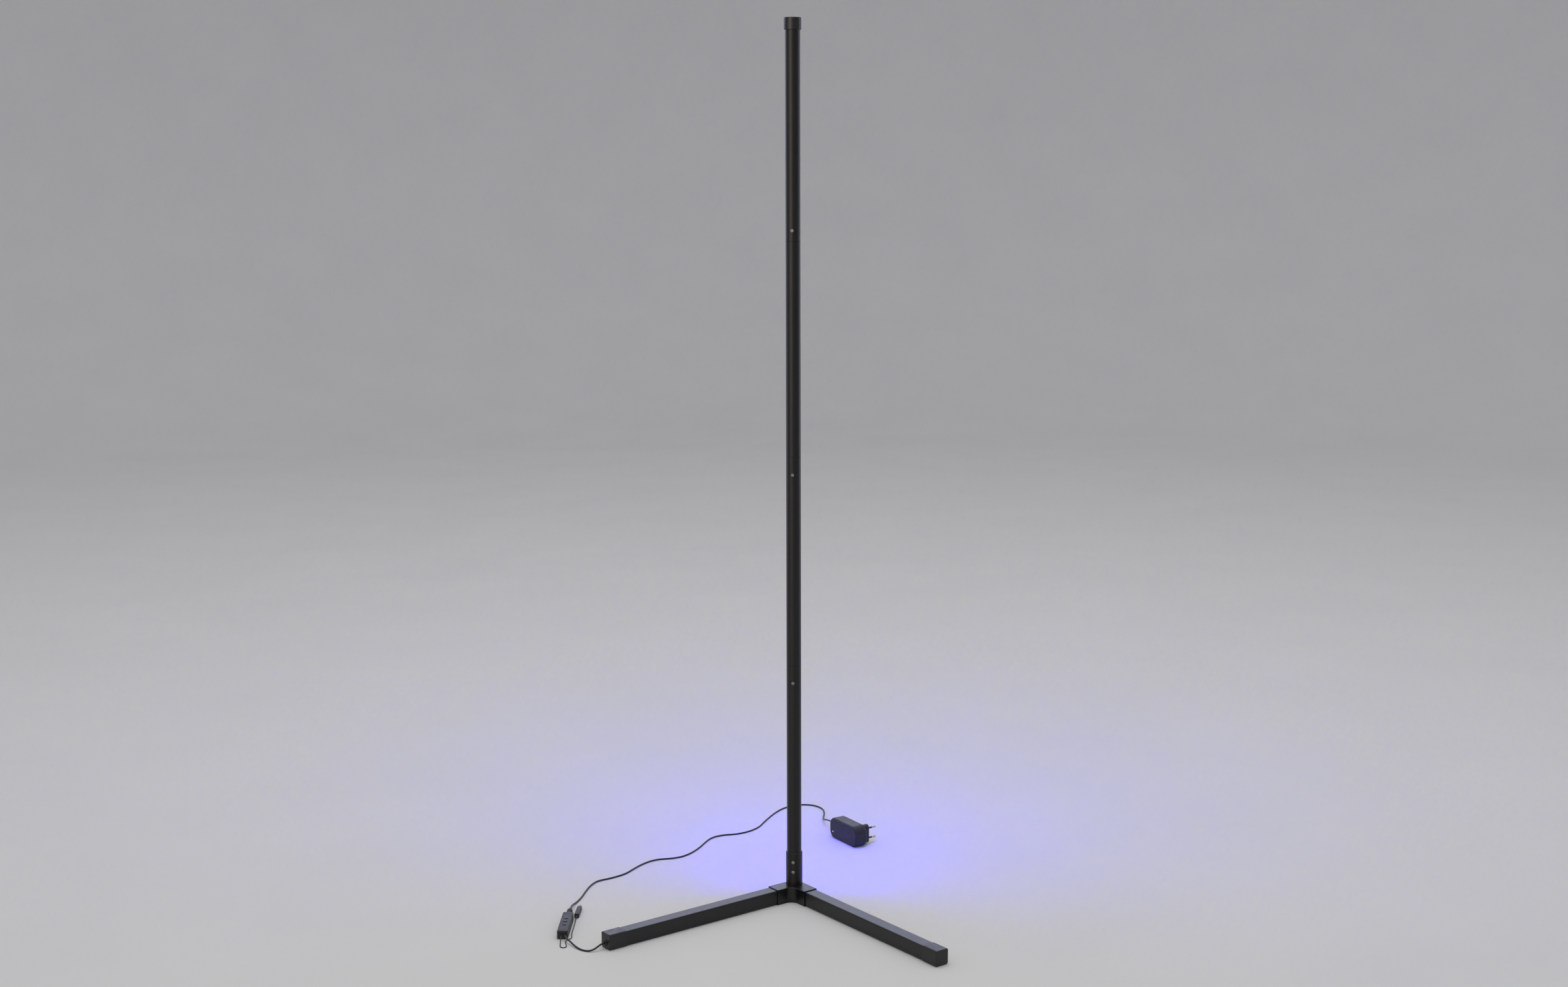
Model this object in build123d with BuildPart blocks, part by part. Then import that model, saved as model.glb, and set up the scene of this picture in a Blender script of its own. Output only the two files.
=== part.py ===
"""A corner floor lamp: a slim upright column of light on a two-legged V foot.

The frame stands on the floor at z = 0, under the column's axis. The legs open towards -Y and the
light leaves the column towards +Y, away from the legs.
All sizes are in millimetres.
"""
import math
import os

from build123d import *

os.makedirs("parts", exist_ok=True)

# Fits between pieces
SLIDE_FIT = 0.15
SCREW_FIT = 0.1
SOCKET_FIT = 0.2

# Chamfer along the joint line of a two-part housing
SEAM = 0.35

# Foot: two square tubes in a corner hub
LEG_SPREAD = 90.0
LEG_REACH = 387.0
LEG_W = 24.0
LEG_WALL = 1.2
LEG_CORNER = 2.0
FLOOR_GAP = 0.5

# End caps, wider than the tubes all round
CAP_PROUD = 1.0
CAP_L = 33.0
CAP_WALL = 2.4
CAP_SPIGOT_L = 20.0
CAP_SPIGOT_WALL = 1.6
CAP_EDGE = 1.2
CAP_LIP = 0.5

# Foot pads, let into the underside of the hub and of the caps
PAD_D = 18.0
PAD_SINK = 1.0

# Corner hub
HUB_PROUD = 1.5
HUB_REACH = 46.0
HUB_INNER_R = 14.0
HUB_APEX_R = 9.0
HUB_EDGE = 1.0
SPIGOT_L = 48.0
SPIGOT_CORNER = 1.5

# Sleeve that joins the hub's post to the column
SLEEVE_WALL = 1.6
SLEEVE_H = 57.5
SLEEVE_EDGE = 0.8
POST_H = 30.0

# Column: four equal lengths of one round extrusion with a slot at the back
TUBE_D = 25.0
TUBE_WALL = 1.5
SECTION_COUNT = 4
SECTION_L = 360.0
SECTION_EDGE = 0.3
WEB_Y = 1.0
WEB_T = 1.5

# Couplers inside the front chamber, each held by one screw through the front wall
COUPLER_L = 90.0
SCREW_ABOVE_JOINT = 18.0
SCREW_BELOW_JOINT = 30.0

# Light: a tape of packages on the web, behind a snap-in opal cover
TAPE_W = 10.0
TAPE_T = 0.4
TAPE_END_GAP = 14.0
TAPE_SIDE = 3.5
LED_W = 5.0
LED_H = 1.6
LED_PITCH = 30.0
COVER_WALL = 1.2

# Top cap
TOP_CAP_WALL = 1.85
TOP_CAP_ROOF = 3.0
TOP_CAP_H = 20.0
TOP_CAP_EDGE = 1.6
TOP_CAP_LIP = 0.5

# Screws: small countersunk ones on the column, pan heads on the sleeve and under the legs
SCREW_R = 1.5
SCREW_HEAD_R = 2.6
SCREW_HEAD_H = 1.4
SCREW_L = 7.0
PAN_HEAD_R = 2.8
PAN_HEAD_H = 1.5
SLEEVE_SCREW_LOW = 24.0
SLEEVE_SCREW_STEP = 17.5
LEG_SCREW_R = 2.0
LEG_SCREW_HEAD_R = 3.5
LEG_SCREW_HEAD_H = 1.1
LEG_SCREW_L = 9.0
LEG_SCREW_IN = 22.0
CROSS_L = 3.0
CROSS_W = 0.7
CROSS_DEPTH = 0.9

# Lead from the light, down the post and along the left leg
CORD_D = 3.0
LEAD_BORE = 8.0
LEAD_BEND = 7.0
LEAD_TAIL = 12.0

# Grommet where the lead leaves the left cap, below the leg's axis
GROMMET_DROP = 3.0
GROMMET_WALL = 2.0
GROMMET_FLANGE = 1.3
GROMMET_LIP = 1.2

# In-line controller, lying on the floor
CTRL_X = -359.75
CTRL_Y = -199.0
CTRL_TURN = 7.4
CTRL_L = 88.0
CTRL_W = 18.0
CTRL_H = 14.5
CTRL_WALL = 1.5
CTRL_CORNER = 3.0
CTRL_EDGE = 2.0
CTRL_FOOT_EDGE = 0.8
BOARD_T = 1.2
BOARD_LEDGE = 1.2
BOARD_Z = 2.5
BOARD_END_GAP = 1.0
JACK_W = 9.0
JACK_H = 9.0
JACK_L = 13.0
CORD_SIDE = 5.0
CORD_EXIT_L = 6.0
CORD_ENTRY_L = 9.0

# Keys on the controller's top, over tall push switches
KEY_COUNT = 3
KEY_PITCH = 14.0
KEY_D = 6.0
KEY_PROUD = 0.8
KEY_FLANGE = 1.0
KEY_FLANGE_T = 1.2
KEY_FIT = 0.25
KEY_TRAVEL = 0.4
KEY_REST_GAP = 0.4
SWITCH_W = 6.0
SWITCH_H = 3.5
SWITCH_PLUNGER_R = 1.6

# Barrel plug of the supply, in the controller's far end
PLUG_BARREL_R = 2.75
PLUG_BARREL_L = 10.0
PLUG_GRIP_R = 4.75
PLUG_GRIP_L = 20.0
PLUG_GROOVE = 0.6
PLUG_GROOVE_START = 6.7
PLUG_GROOVE_COUNT = 4
PLUG_GROOVE_PITCH = 3.2
PLUG_TAIL_L = 11.0
PLUG_TAIL_R = 2.4
PLUG_EXIT_L = 14.0

# Receiver for the hand remote, on its own thin lead
EYE_LEAD_D = 1.6
EYE_W = 8.0
EYE_L = 38.0
EYE_CORNER = 2.0
EYE_BOOT_L = 7.0
EYE_BOOT_R = 1.2
EYE_BOOT_ROOT_R = 2.4
EYE_LENS_R = 2.5
EYE_LENS_L = 10.5
EYE_DOME = 2.3
EYE_X = -353.6
EYE_Y = -146.5
EYE_TURN = 6.0
EYE_SIDE = 1.0
EYE_EXIT_L = 6.0
EYE_ENTRY_L = 8.0

# Plug-in supply, lying on its side
ADAPTER_X = 62.0
ADAPTER_Y = 312.0
ADAPTER_TURN = -50.0
ADAPTER_L = 89.0
ADAPTER_W = 40.0
ADAPTER_D = 26.0
ADAPTER_WALL = 2.0
ADAPTER_CORNER = 15.0
ADAPTER_FRONT_D = 19.0
ADAPTER_EDGE = 3.0
NOSE_INSET = 17.0
NOSE_W = 13.7
NOSE_L = 35.3
NOSE_H = 11.0
NOSE_CORNER = 6.0
PIN_R = 2.0
PIN_L = 19.0
PIN_SPACING = 19.0
PIN_ROOT = 6.0
PIN_NECK_R = 1.2
PIN_SLEEVE_L = 10.0
PIN_SLEEVE_R = 1.65
PIN_TIP = 0.8
RELIEF_L = 12.5
RELIEF_ROOT_R = 3.8
RELIEF_TIP_R = 3.0
RELIEF_GROOVE = 0.7
RELIEF_GROOVE_COUNT = 4
RELIEF_GROOVE_PITCH = 2.5
RELIEF_EXIT_L = 12.0
INDICATOR_R = 1.5
INDICATOR_INSET = 11.0
INDICATOR_RISE = -7.0
INDICATOR_PROUD = 0.4
SUPPLY_BOARD_T = 1.6
SUPPLY_BOARD_GAP = 0.3
SUPPLY_BOARD_Z = 3.0
COIL_L = 24.0
COIL_W = 22.0
COIL_H = 13.0
COIL_EDGE = 1.5

# Bend rule of a lying cord: each arc takes this share of the shorter of its two runs
ARC_SHARE = 0.45

# Heights and radii that follow from the sizes above
CAP_W = LEG_W + 2 * CAP_PROUD
HUB_W = LEG_W + 2 * HUB_PROUD
LEG_INNER = LEG_W - 2 * LEG_WALL
LEG_Z = FLOOR_GAP + CAP_W / 2
HUB_TOP = LEG_Z + LEG_W / 2 + HUB_PROUD
HUB_H = HUB_TOP - FLOOR_GAP
SPIGOT_W = LEG_INNER - 2 * SLIDE_FIT
PAD_T = FLOOR_GAP + PAD_SINK
CAP_START = LEG_REACH - CAP_L
TUBE_R = TUBE_D / 2
TUBE_START = HUB_TOP + POST_H
TUBE_END = TUBE_START + SECTION_COUNT * SECTION_L
SLEEVE_R = TUBE_R + SLIDE_FIT + SLEEVE_WALL
SLOT_W = TAPE_W + 2 * TAPE_SIDE
WEB_BACK = WEB_Y + WEB_T
TAPE_BACK = WEB_BACK + TAPE_T
LEAD_Y = TAPE_BACK + CORD_D / 2
JOINTS = [TUBE_START + n * SECTION_L for n in range(1, SECTION_COUNT)]

HALF_SPREAD = math.radians(LEG_SPREAD / 2)
LEAD_LATERAL = -LEAD_Y * math.sin(HALF_SPREAD)
LEAD_ALONG = -LEAD_Y * math.cos(HALF_SPREAD)
GROMMET_R = CORD_D / 2 + SLIDE_FIT + GROMMET_WALL

JACK_Z = BOARD_Z + BOARD_T + JACK_H / 2
CTRL_ROOF = CTRL_H - CTRL_WALL
KEY_TOP_OF_FLANGE = CTRL_ROOF - KEY_FIT
KEY_BOTTOM = KEY_TOP_OF_FLANGE - KEY_FLANGE_T
PLUNGER_TOP = KEY_BOTTOM - KEY_TRAVEL - KEY_REST_GAP
KEY_PLACES = [(n - (KEY_COUNT - 1) / 2) * KEY_PITCH for n in range(KEY_COUNT)]


def leg_plane(side: int) -> Plane:
    """Plane across a leg at the column's axis; its normal runs out along the leg, its Y is up."""
    along = Vector(side * math.sin(HALF_SPREAD), -math.cos(HALF_SPREAD), 0)
    return Plane(origin=(0, 0, LEG_Z), x_dir=(-along.Y, along.X, 0), z_dir=along)


def front_seat(z: float, radius: float) -> Plane:
    """Plane on the front of a round piece of that radius, facing the viewer, with its Y up."""
    return Plane(origin=(0, -radius, z), x_dir=(1, 0, 0), z_dir=(0, -1, 0))


def turned_plane(x: float, y: float, degrees: float) -> Plane:
    """Floor plane at a place, with its Y axis turned from +Y by that angle."""
    turn = math.radians(degrees)
    return Plane(origin=(x, y, 0), x_dir=(math.cos(turn), math.sin(turn), 0), z_dir=(0, 0, 1))


def end_plane(base: Plane, x: float, y: float, z: float, outward: Vector) -> Plane:
    """Plane at a local place of a lying piece, facing outward, with its Y up."""
    sideways = Vector(0, 0, 1).cross(outward)
    return Plane(origin=base.from_local_coords(Vector(x, y, z)), x_dir=sideways, z_dir=outward)


LEFT_LEG = leg_plane(-1)
RIGHT_LEG = leg_plane(1)
CTRL = turned_plane(CTRL_X, CTRL_Y, CTRL_TURN)
CTRL_FRONT = end_plane(CTRL, 0, -CTRL_L / 2, JACK_Z, -CTRL.y_dir)
CTRL_FAR = end_plane(CTRL, 0, CTRL_L / 2, JACK_Z, CTRL.y_dir)
EYE_BASE = turned_plane(EYE_X, EYE_Y, EYE_TURN)
EYE = end_plane(EYE_BASE, 0, 0, EYE_W / 2, EYE_BASE.y_dir)
ADAPTER_BASE = turned_plane(ADAPTER_X, ADAPTER_Y, ADAPTER_TURN)
ADAPTER = Plane(
    origin=(ADAPTER_X, ADAPTER_Y, ADAPTER_W / 2),
    x_dir=-ADAPTER_BASE.x_dir,
    z_dir=ADAPTER_BASE.y_dir,
)
ADAPTER_SPLIT = ADAPTER.offset(ADAPTER_FRONT_D - ADAPTER_D / 2)
RELIEF = Plane(
    origin=ADAPTER_SPLIT.from_local_coords(Vector(ADAPTER_L / 2, 0, 0)),
    x_dir=ADAPTER.z_dir,
    z_dir=ADAPTER.x_dir,
)

COUPLER_SCREW_HEIGHTS = [joint - SCREW_BELOW_JOINT for joint in JOINTS[:-1]]
COUPLER_SCREW_HEIGHTS.append(JOINTS[-1] + SCREW_ABOVE_JOINT)
SLEEVE_SCREW_HEIGHTS = [HUB_TOP + SLEEVE_SCREW_LOW + n * SLEEVE_SCREW_STEP for n in range(2)]
COUPLER_SEATS = [front_seat(z, TUBE_R) for z in COUPLER_SCREW_HEIGHTS]
SLEEVE_SEATS = [front_seat(z, SLEEVE_R) for z in SLEEVE_SCREW_HEIGHTS]


def leg_screw_seat(leg: Plane) -> Plane:
    """Seat of the screw under a leg, facing down."""
    place = leg.from_local_coords(Vector(0, -LEG_W / 2, HUB_REACH + LEG_SCREW_IN))
    return Plane(origin=place, x_dir=(1, 0, 0), z_dir=(0, 0, -1))


LEG_SEATS = [leg_screw_seat(LEFT_LEG), leg_screw_seat(RIGHT_LEG)]


def route_radii(points: list[Vector]) -> list[float]:
    """Radius of the arc at each inner point of a cord's route, as large as its runs allow."""
    radii = []
    for before, here, after in zip(points, points[1:], points[2:]):
        turn = math.radians((here - before).get_angle(after - here))
        shorter = min((here - before).length, (after - here).length)
        radii.append(ARC_SHARE * shorter / math.tan(turn / 2))
    return radii


def cord_along(name: str, points: list[Vector], diameter: float) -> BuildPart:
    """Round cord along straight runs joined by tangent arcs; prints its length and bends."""
    radii = route_radii(points)
    with BuildPart() as cord:
        with BuildLine() as route:
            FilletPolyline(*points, radius=radii)
        with BuildSketch(Plane(origin=points[0], z_dir=points[1] - points[0])):
            Circle(diameter / 2)
        sweep(path=route.wires()[0])
    length = route.wires()[0].length
    filled = cord.part.volume / (math.pi * diameter**2 / 4 * length)
    print(f"{name}: length {length:.0f}, volume ratio {filled:.4f}, tightest {min(radii):.1f}")
    print("  radii", [round(radius, 1) for radius in radii])
    return cord


def cross_recess(tops: list[Plane]) -> None:
    """Cut a cross for the driver into each screw head of the part that is being built."""
    with Locations(*tops):
        for width, length in ((CROSS_W, CROSS_L), (CROSS_L, CROSS_W)):
            Box(width, length, CROSS_DEPTH, align=(Align.CENTER, Align.CENTER, Align.MAX), mode=Mode.SUBTRACT)


def countersunk_screws(seats: list[Plane]) -> BuildPart:
    """Countersunk screws with their heads level with the seats."""
    with BuildPart() as screws:
        with Locations(*seats):
            Cone(SCREW_R, SCREW_HEAD_R, SCREW_HEAD_H, align=(Align.CENTER, Align.CENTER, Align.MAX))
            Cylinder(SCREW_R, SCREW_L, align=(Align.CENTER, Align.CENTER, Align.MAX))
        cross_recess(seats)
    return screws


def pan_screws(seats: list[Plane], head_r: float, head_h: float, shank_r: float, length: float) -> BuildPart:
    """Screws whose round heads stand on the seats."""
    with BuildPart() as screws:
        with Locations(*seats):
            Cylinder(head_r, head_h, align=(Align.CENTER, Align.CENTER, Align.MIN))
        fillet(screws.edges().filter_by(GeomType.CIRCLE).filter_by(lambda edge: is_head_rim(edge, seats)),
               head_h / 2)
        with Locations(*seats):
            Cylinder(shank_r, length, align=(Align.CENTER, Align.CENTER, Align.MAX))
        cross_recess([seat.offset(head_h) for seat in seats])
    return screws


def is_head_rim(edge: Edge, seats: list[Plane]) -> bool:
    """True for the outer rim of a pan head, which lies off every seat."""
    return all(abs(seat.to_local_coords(edge.arc_center).Z) > SCREW_FIT for seat in seats)


# Corner hub: an L-shaped block with a post for the column and a spigot for each leg
with BuildPart() as base_hub:
    with BuildSketch(Plane.XY.offset(FLOOR_GAP)) as hub_plan:
        Rectangle(HUB_W, HUB_W, rotation=LEG_SPREAD / 2)
        with PolarLocations(0, 2, -90 - LEG_SPREAD / 2, LEG_SPREAD, endpoint=True):
            Rectangle(HUB_REACH, HUB_W, align=(Align.MIN, Align.CENTER))
        corners = hub_plan.vertices().filter_by_position(Axis.X, -SLIDE_FIT, SLIDE_FIT).sort_by(Axis.Y)
        fillet(corners[0], HUB_INNER_R)
        corners = hub_plan.vertices().sort_by(Axis.Y)
        fillet(corners[-1], HUB_APEX_R)
    extrude(amount=HUB_H)
    fillet(base_hub.faces().sort_by(Axis.Z)[-1].edges(), HUB_EDGE)
    with BuildSketch(Plane.XY.offset(HUB_TOP)):
        Circle(TUBE_R)
    extrude(amount=POST_H)
    for leg in (LEFT_LEG, RIGHT_LEG):
        with BuildSketch(leg.offset(HUB_REACH)):
            RectangleRounded(SPIGOT_W, SPIGOT_W, SPIGOT_CORNER)
        extrude(amount=SPIGOT_L)
    with BuildSketch(Plane.XY.offset(TUBE_START)):
        with Locations((0, LEAD_Y)):
            Circle(LEAD_BORE / 2)
    extrude(amount=LEG_Z - LEAD_BORE / 2 - TUBE_START, mode=Mode.SUBTRACT)
    with BuildSketch(LEFT_LEG.offset(LEAD_ALONG)):
        with Locations((LEAD_LATERAL, 0)):
            Circle(LEAD_BORE / 2)
    extrude(amount=HUB_REACH + SPIGOT_L - LEAD_ALONG, mode=Mode.SUBTRACT)
    with BuildSketch(Plane.XY.offset(FLOOR_GAP)):
        Circle(PAD_D / 2 + SLIDE_FIT)
    extrude(amount=PAD_SINK, mode=Mode.SUBTRACT)
    with Locations(*LEG_SEATS):
        Cylinder(LEG_SCREW_R + SCREW_FIT, LEG_SCREW_L + SOCKET_FIT,
                 align=(Align.CENTER, Align.CENTER, Align.MAX), mode=Mode.SUBTRACT)
    with Locations(SLEEVE_SEATS[0]):
        Cylinder(SCREW_R + SCREW_FIT, SCREW_L + SOCKET_FIT,
                 align=(Align.CENTER, Align.CENTER, Align.MAX), mode=Mode.SUBTRACT)

# Sleeve over the post and the foot of the column
with BuildPart() as column_sleeve:
    with BuildSketch(Plane.XY.offset(HUB_TOP)):
        Circle(SLEEVE_R)
        Circle(TUBE_R + SLIDE_FIT, mode=Mode.SUBTRACT)
    extrude(amount=SLEEVE_H)
    chamfer(column_sleeve.faces().sort_by(Axis.Z)[-1].edges().sort_by(SortBy.RADIUS)[-1], SLEEVE_EDGE)
    with Locations(*SLEEVE_SEATS):
        Hole(SCREW_R + SCREW_FIT, depth=SLEEVE_R)


def leg_tube(leg: Plane, seat: Plane) -> BuildPart:
    """Square tube from the hub to the end cap, with its screw hole underneath."""
    with BuildPart() as tube:
        with BuildSketch(leg.offset(HUB_REACH)):
            RectangleRounded(LEG_W, LEG_W, LEG_CORNER)
            RectangleRounded(LEG_INNER, LEG_INNER, LEG_CORNER - LEG_WALL, mode=Mode.SUBTRACT)
        extrude(amount=CAP_START - HUB_REACH)
        with Locations(seat):
            Hole(LEG_SCREW_R + SCREW_FIT, depth=LEG_W / 2)
    return tube


left_leg = leg_tube(LEFT_LEG, LEG_SEATS[0])
right_leg = leg_tube(RIGHT_LEG, LEG_SEATS[1])


def cap_pad_place(leg: Plane) -> Vector:
    """Middle of the pad under an end cap, on the floor."""
    place = leg.from_local_coords(Vector(0, 0, LEG_REACH - CAP_L / 2))
    return Vector(place.X, place.Y, 0)


def end_cap(leg: Plane, cord_hole: bool) -> BuildPart:
    """Hollow moulded cap with a spigot in the leg, and a hole for the grommet where asked."""
    with BuildPart() as cap:
        with BuildSketch(leg.offset(CAP_START)):
            RectangleRounded(CAP_W, CAP_W, LEG_CORNER + CAP_PROUD)
        extrude(amount=CAP_L)
        ends = cap.faces().sort_by(Axis(leg.origin, leg.z_dir))
        lip = ends[0].edges()
        fillet(ends[-1].edges(), CAP_EDGE)
        fillet(lip, CAP_LIP)
        with BuildSketch(leg.offset(CAP_START)):
            RectangleRounded(SPIGOT_W, SPIGOT_W, SPIGOT_CORNER)
        extrude(amount=-CAP_SPIGOT_L)
        with BuildSketch(leg.offset(CAP_START - CAP_SPIGOT_L)):
            Rectangle(SPIGOT_W - 2 * CAP_SPIGOT_WALL, SPIGOT_W - 2 * CAP_SPIGOT_WALL)
        extrude(amount=CAP_SPIGOT_L + CAP_L - CAP_WALL, mode=Mode.SUBTRACT)
        with BuildSketch(Plane.XY.offset(FLOOR_GAP)):
            with Locations(cap_pad_place(leg)):
                Circle(PAD_D / 2 + SLIDE_FIT)
        extrude(amount=PAD_SINK, mode=Mode.SUBTRACT)
        if cord_hole:
            with BuildSketch(leg.offset(LEG_REACH)):
                with Locations((0, -GROMMET_DROP)):
                    Circle(GROMMET_R + SCREW_FIT)
            extrude(amount=-2 * CAP_WALL, mode=Mode.SUBTRACT)
    return cap


left_end_cap = end_cap(LEFT_LEG, True)
right_end_cap = end_cap(RIGHT_LEG, False)

# Rubber bush in the left cap, with a flange outside and a lip inside
with BuildPart() as cord_grommet:
    with BuildSketch(LEFT_LEG.offset(LEG_REACH)):
        with Locations((0, -GROMMET_DROP)):
            Circle(GROMMET_R + GROMMET_LIP)
    extrude(amount=GROMMET_FLANGE)
    outer_face = cord_grommet.faces().sort_by(Axis(LEFT_LEG.origin, LEFT_LEG.z_dir))[-1]
    fillet(outer_face.edges(), GROMMET_FLANGE / 2)
    with BuildSketch(LEFT_LEG.offset(LEG_REACH)):
        with Locations((0, -GROMMET_DROP)):
            Circle(GROMMET_R)
    extrude(amount=-CAP_WALL)
    with BuildSketch(LEFT_LEG.offset(LEG_REACH - CAP_WALL)):
        with Locations((0, -GROMMET_DROP)):
            Circle(GROMMET_R + GROMMET_LIP)
    extrude(amount=-GROMMET_FLANGE)
    with BuildSketch(LEFT_LEG.offset(LEG_REACH + GROMMET_FLANGE)):
        with Locations((0, -GROMMET_DROP)):
            Circle(CORD_D / 2 + SLIDE_FIT)
    extrude(amount=-CAP_WALL - 2 * GROMMET_FLANGE, mode=Mode.SUBTRACT)

# Three thin pads carry the lamp
with BuildPart() as foot_pads:
    with BuildSketch():
        with Locations(Vector(0, 0, 0), cap_pad_place(LEFT_LEG), cap_pad_place(RIGHT_LEG)):
            Circle(PAD_D / 2)
    extrude(amount=PAD_T)

leg_screws = pan_screws(LEG_SEATS, LEG_SCREW_HEAD_R, LEG_SCREW_HEAD_H, LEG_SCREW_R, LEG_SCREW_L)
sleeve_screws = pan_screws(SLEEVE_SEATS, PAN_HEAD_R, PAN_HEAD_H, SCREW_R, SCREW_L)
coupler_screws = countersunk_screws(COUPLER_SEATS)


def column_section(index: int) -> BuildPart:
    """One length of the round extrusion: front chamber, web and open slot at the back."""
    bottom = TUBE_START + index * SECTION_L
    with BuildPart() as section:
        with BuildSketch(Plane.XY.offset(bottom)):
            Circle(TUBE_R)
            Circle(TUBE_R - TUBE_WALL, mode=Mode.SUBTRACT)
            with Locations((0, WEB_Y)):
                Rectangle(2 * (TUBE_R - TUBE_WALL), WEB_T, align=(Align.CENTER, Align.MIN))
            with Locations((0, WEB_BACK)):
                Rectangle(SLOT_W, TUBE_R, align=(Align.CENTER, Align.MIN), mode=Mode.SUBTRACT)
        extrude(amount=SECTION_L)
        rims = section.edges().filter_by(GeomType.CIRCLE).group_by(SortBy.RADIUS)[-1]
        chamfer(rims, SECTION_EDGE)
        for seat in COUPLER_SEATS:
            if bottom < seat.origin.Z < bottom + SECTION_L:
                with Locations(seat):
                    Cone(SCREW_R + SCREW_FIT, SCREW_HEAD_R + SCREW_FIT, SCREW_HEAD_H,
                         align=(Align.CENTER, Align.CENTER, Align.MAX), mode=Mode.SUBTRACT)
                    Hole(SCREW_R + SCREW_FIT, depth=2 * TUBE_WALL)
        for seat in SLEEVE_SEATS:
            if bottom < seat.origin.Z < bottom + SECTION_L:
                with Locations(seat):
                    Hole(SCREW_R + SCREW_FIT, depth=SCREW_L)
    return section


def section_coupler(index: int) -> BuildPart:
    """Half-round bar across one joint, in the front chambers of both lengths."""
    middle = JOINTS[index]
    with BuildPart() as coupler:
        with BuildSketch(Plane.XY.offset(middle - COUPLER_L / 2)):
            Circle(TUBE_R - TUBE_WALL - SLIDE_FIT)
            with Locations((0, WEB_Y - SLIDE_FIT)):
                Rectangle(TUBE_D, TUBE_D, align=(Align.CENTER, Align.MAX), mode=Mode.INTERSECT)
        extrude(amount=COUPLER_L)
        with Locations(COUPLER_SEATS[index]):
            Cylinder(SCREW_R + SCREW_FIT, SCREW_L + SOCKET_FIT,
                     align=(Align.CENTER, Align.CENTER, Align.MAX), mode=Mode.SUBTRACT)
    return coupler


column_sections = [column_section(index) for index in range(SECTION_COUNT)]
section_couplers = [section_coupler(index) for index in range(SECTION_COUNT - 1)]

# Cap over the top of the column
with BuildPart() as top_cap:
    with BuildSketch(Plane.XY.offset(TUBE_END + TOP_CAP_ROOF - TOP_CAP_H)):
        Circle(TUBE_R + SLIDE_FIT + TOP_CAP_WALL)
    extrude(amount=TOP_CAP_H)
    cap_rim = top_cap.faces().sort_by(Axis.Z)[0].edges()
    fillet(top_cap.faces().sort_by(Axis.Z)[-1].edges(), TOP_CAP_EDGE)
    fillet(cap_rim, TOP_CAP_LIP)
    with BuildSketch(Plane.XY.offset(TUBE_END)):
        Circle(TUBE_R + SLIDE_FIT)
    extrude(amount=TOP_CAP_ROOF - TOP_CAP_H, mode=Mode.SUBTRACT)

# Light tape on the back of the web, over the whole column
TAPE_START = TUBE_START + TAPE_END_GAP
TAPE_L = TUBE_END - TUBE_START - 2 * TAPE_END_GAP
with BuildPart() as led_tape:
    with BuildSketch(Plane.XY.offset(TAPE_START)):
        with Locations((0, WEB_BACK)):
            Rectangle(TAPE_W, TAPE_T, align=(Align.CENTER, Align.MIN))
    extrude(amount=TAPE_L)

# Light packages in a row on the tape, clear of the lead at its lower end
LED_START = TAPE_START + LEAD_TAIL + LED_W
LED_COUNT = int((TAPE_L - LEAD_TAIL - 2 * LED_W) / LED_PITCH) + 1
with BuildPart() as led_chips:
    with BuildSketch(Plane(origin=(0, TAPE_BACK, LED_START), x_dir=(-1, 0, 0), z_dir=(0, 1, 0))):
        with GridLocations(1, LED_PITCH, 1, LED_COUNT, align=(Align.CENTER, Align.MIN)):
            Rectangle(LED_W, LED_W)
    extrude(amount=LED_H)

# Opal cover that fills the slot and carries the round outline on
with BuildPart() as diffuser:
    with BuildSketch(Plane.XY.offset(TUBE_START)) as cover_profile:
        Circle(TUBE_R)
        with Locations((0, WEB_BACK + SLIDE_FIT)):
            Rectangle(SLOT_W - 2 * SOCKET_FIT, TUBE_D, align=(Align.CENTER, Align.MIN), mode=Mode.INTERSECT)
        offset(amount=-COVER_WALL, mode=Mode.SUBTRACT)
        with Locations((0, WEB_BACK)):
            Rectangle(SLOT_W - 2 * SOCKET_FIT - 2 * COVER_WALL, 2 * COVER_WALL,
                      align=(Align.CENTER, Align.MIN), mode=Mode.SUBTRACT)
    extrude(amount=TUBE_END - TUBE_START)

# Lead from the tape to the grommet, inside the post, the hub and the left leg
with BuildPart() as column_lead:
    with BuildLine() as lead_route:
        lead_top = Vector(0, LEAD_Y, TAPE_START + LEAD_TAIL)
        lead_turn = Vector(0, LEAD_Y, LEG_Z)
        lead_in_cap = LEFT_LEG.from_local_coords(Vector(0, -GROMMET_DROP, CAP_START))
        lead_out = LEFT_LEG.from_local_coords(Vector(0, -GROMMET_DROP, LEG_REACH + GROMMET_FLANGE))
        FilletPolyline(lead_top, lead_turn, lead_in_cap, lead_out, radius=LEAD_BEND)
    with BuildSketch(Plane(origin=lead_top, z_dir=lead_turn - lead_top)):
        Circle(CORD_D / 2)
    sweep(path=lead_route.wires()[0])

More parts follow.
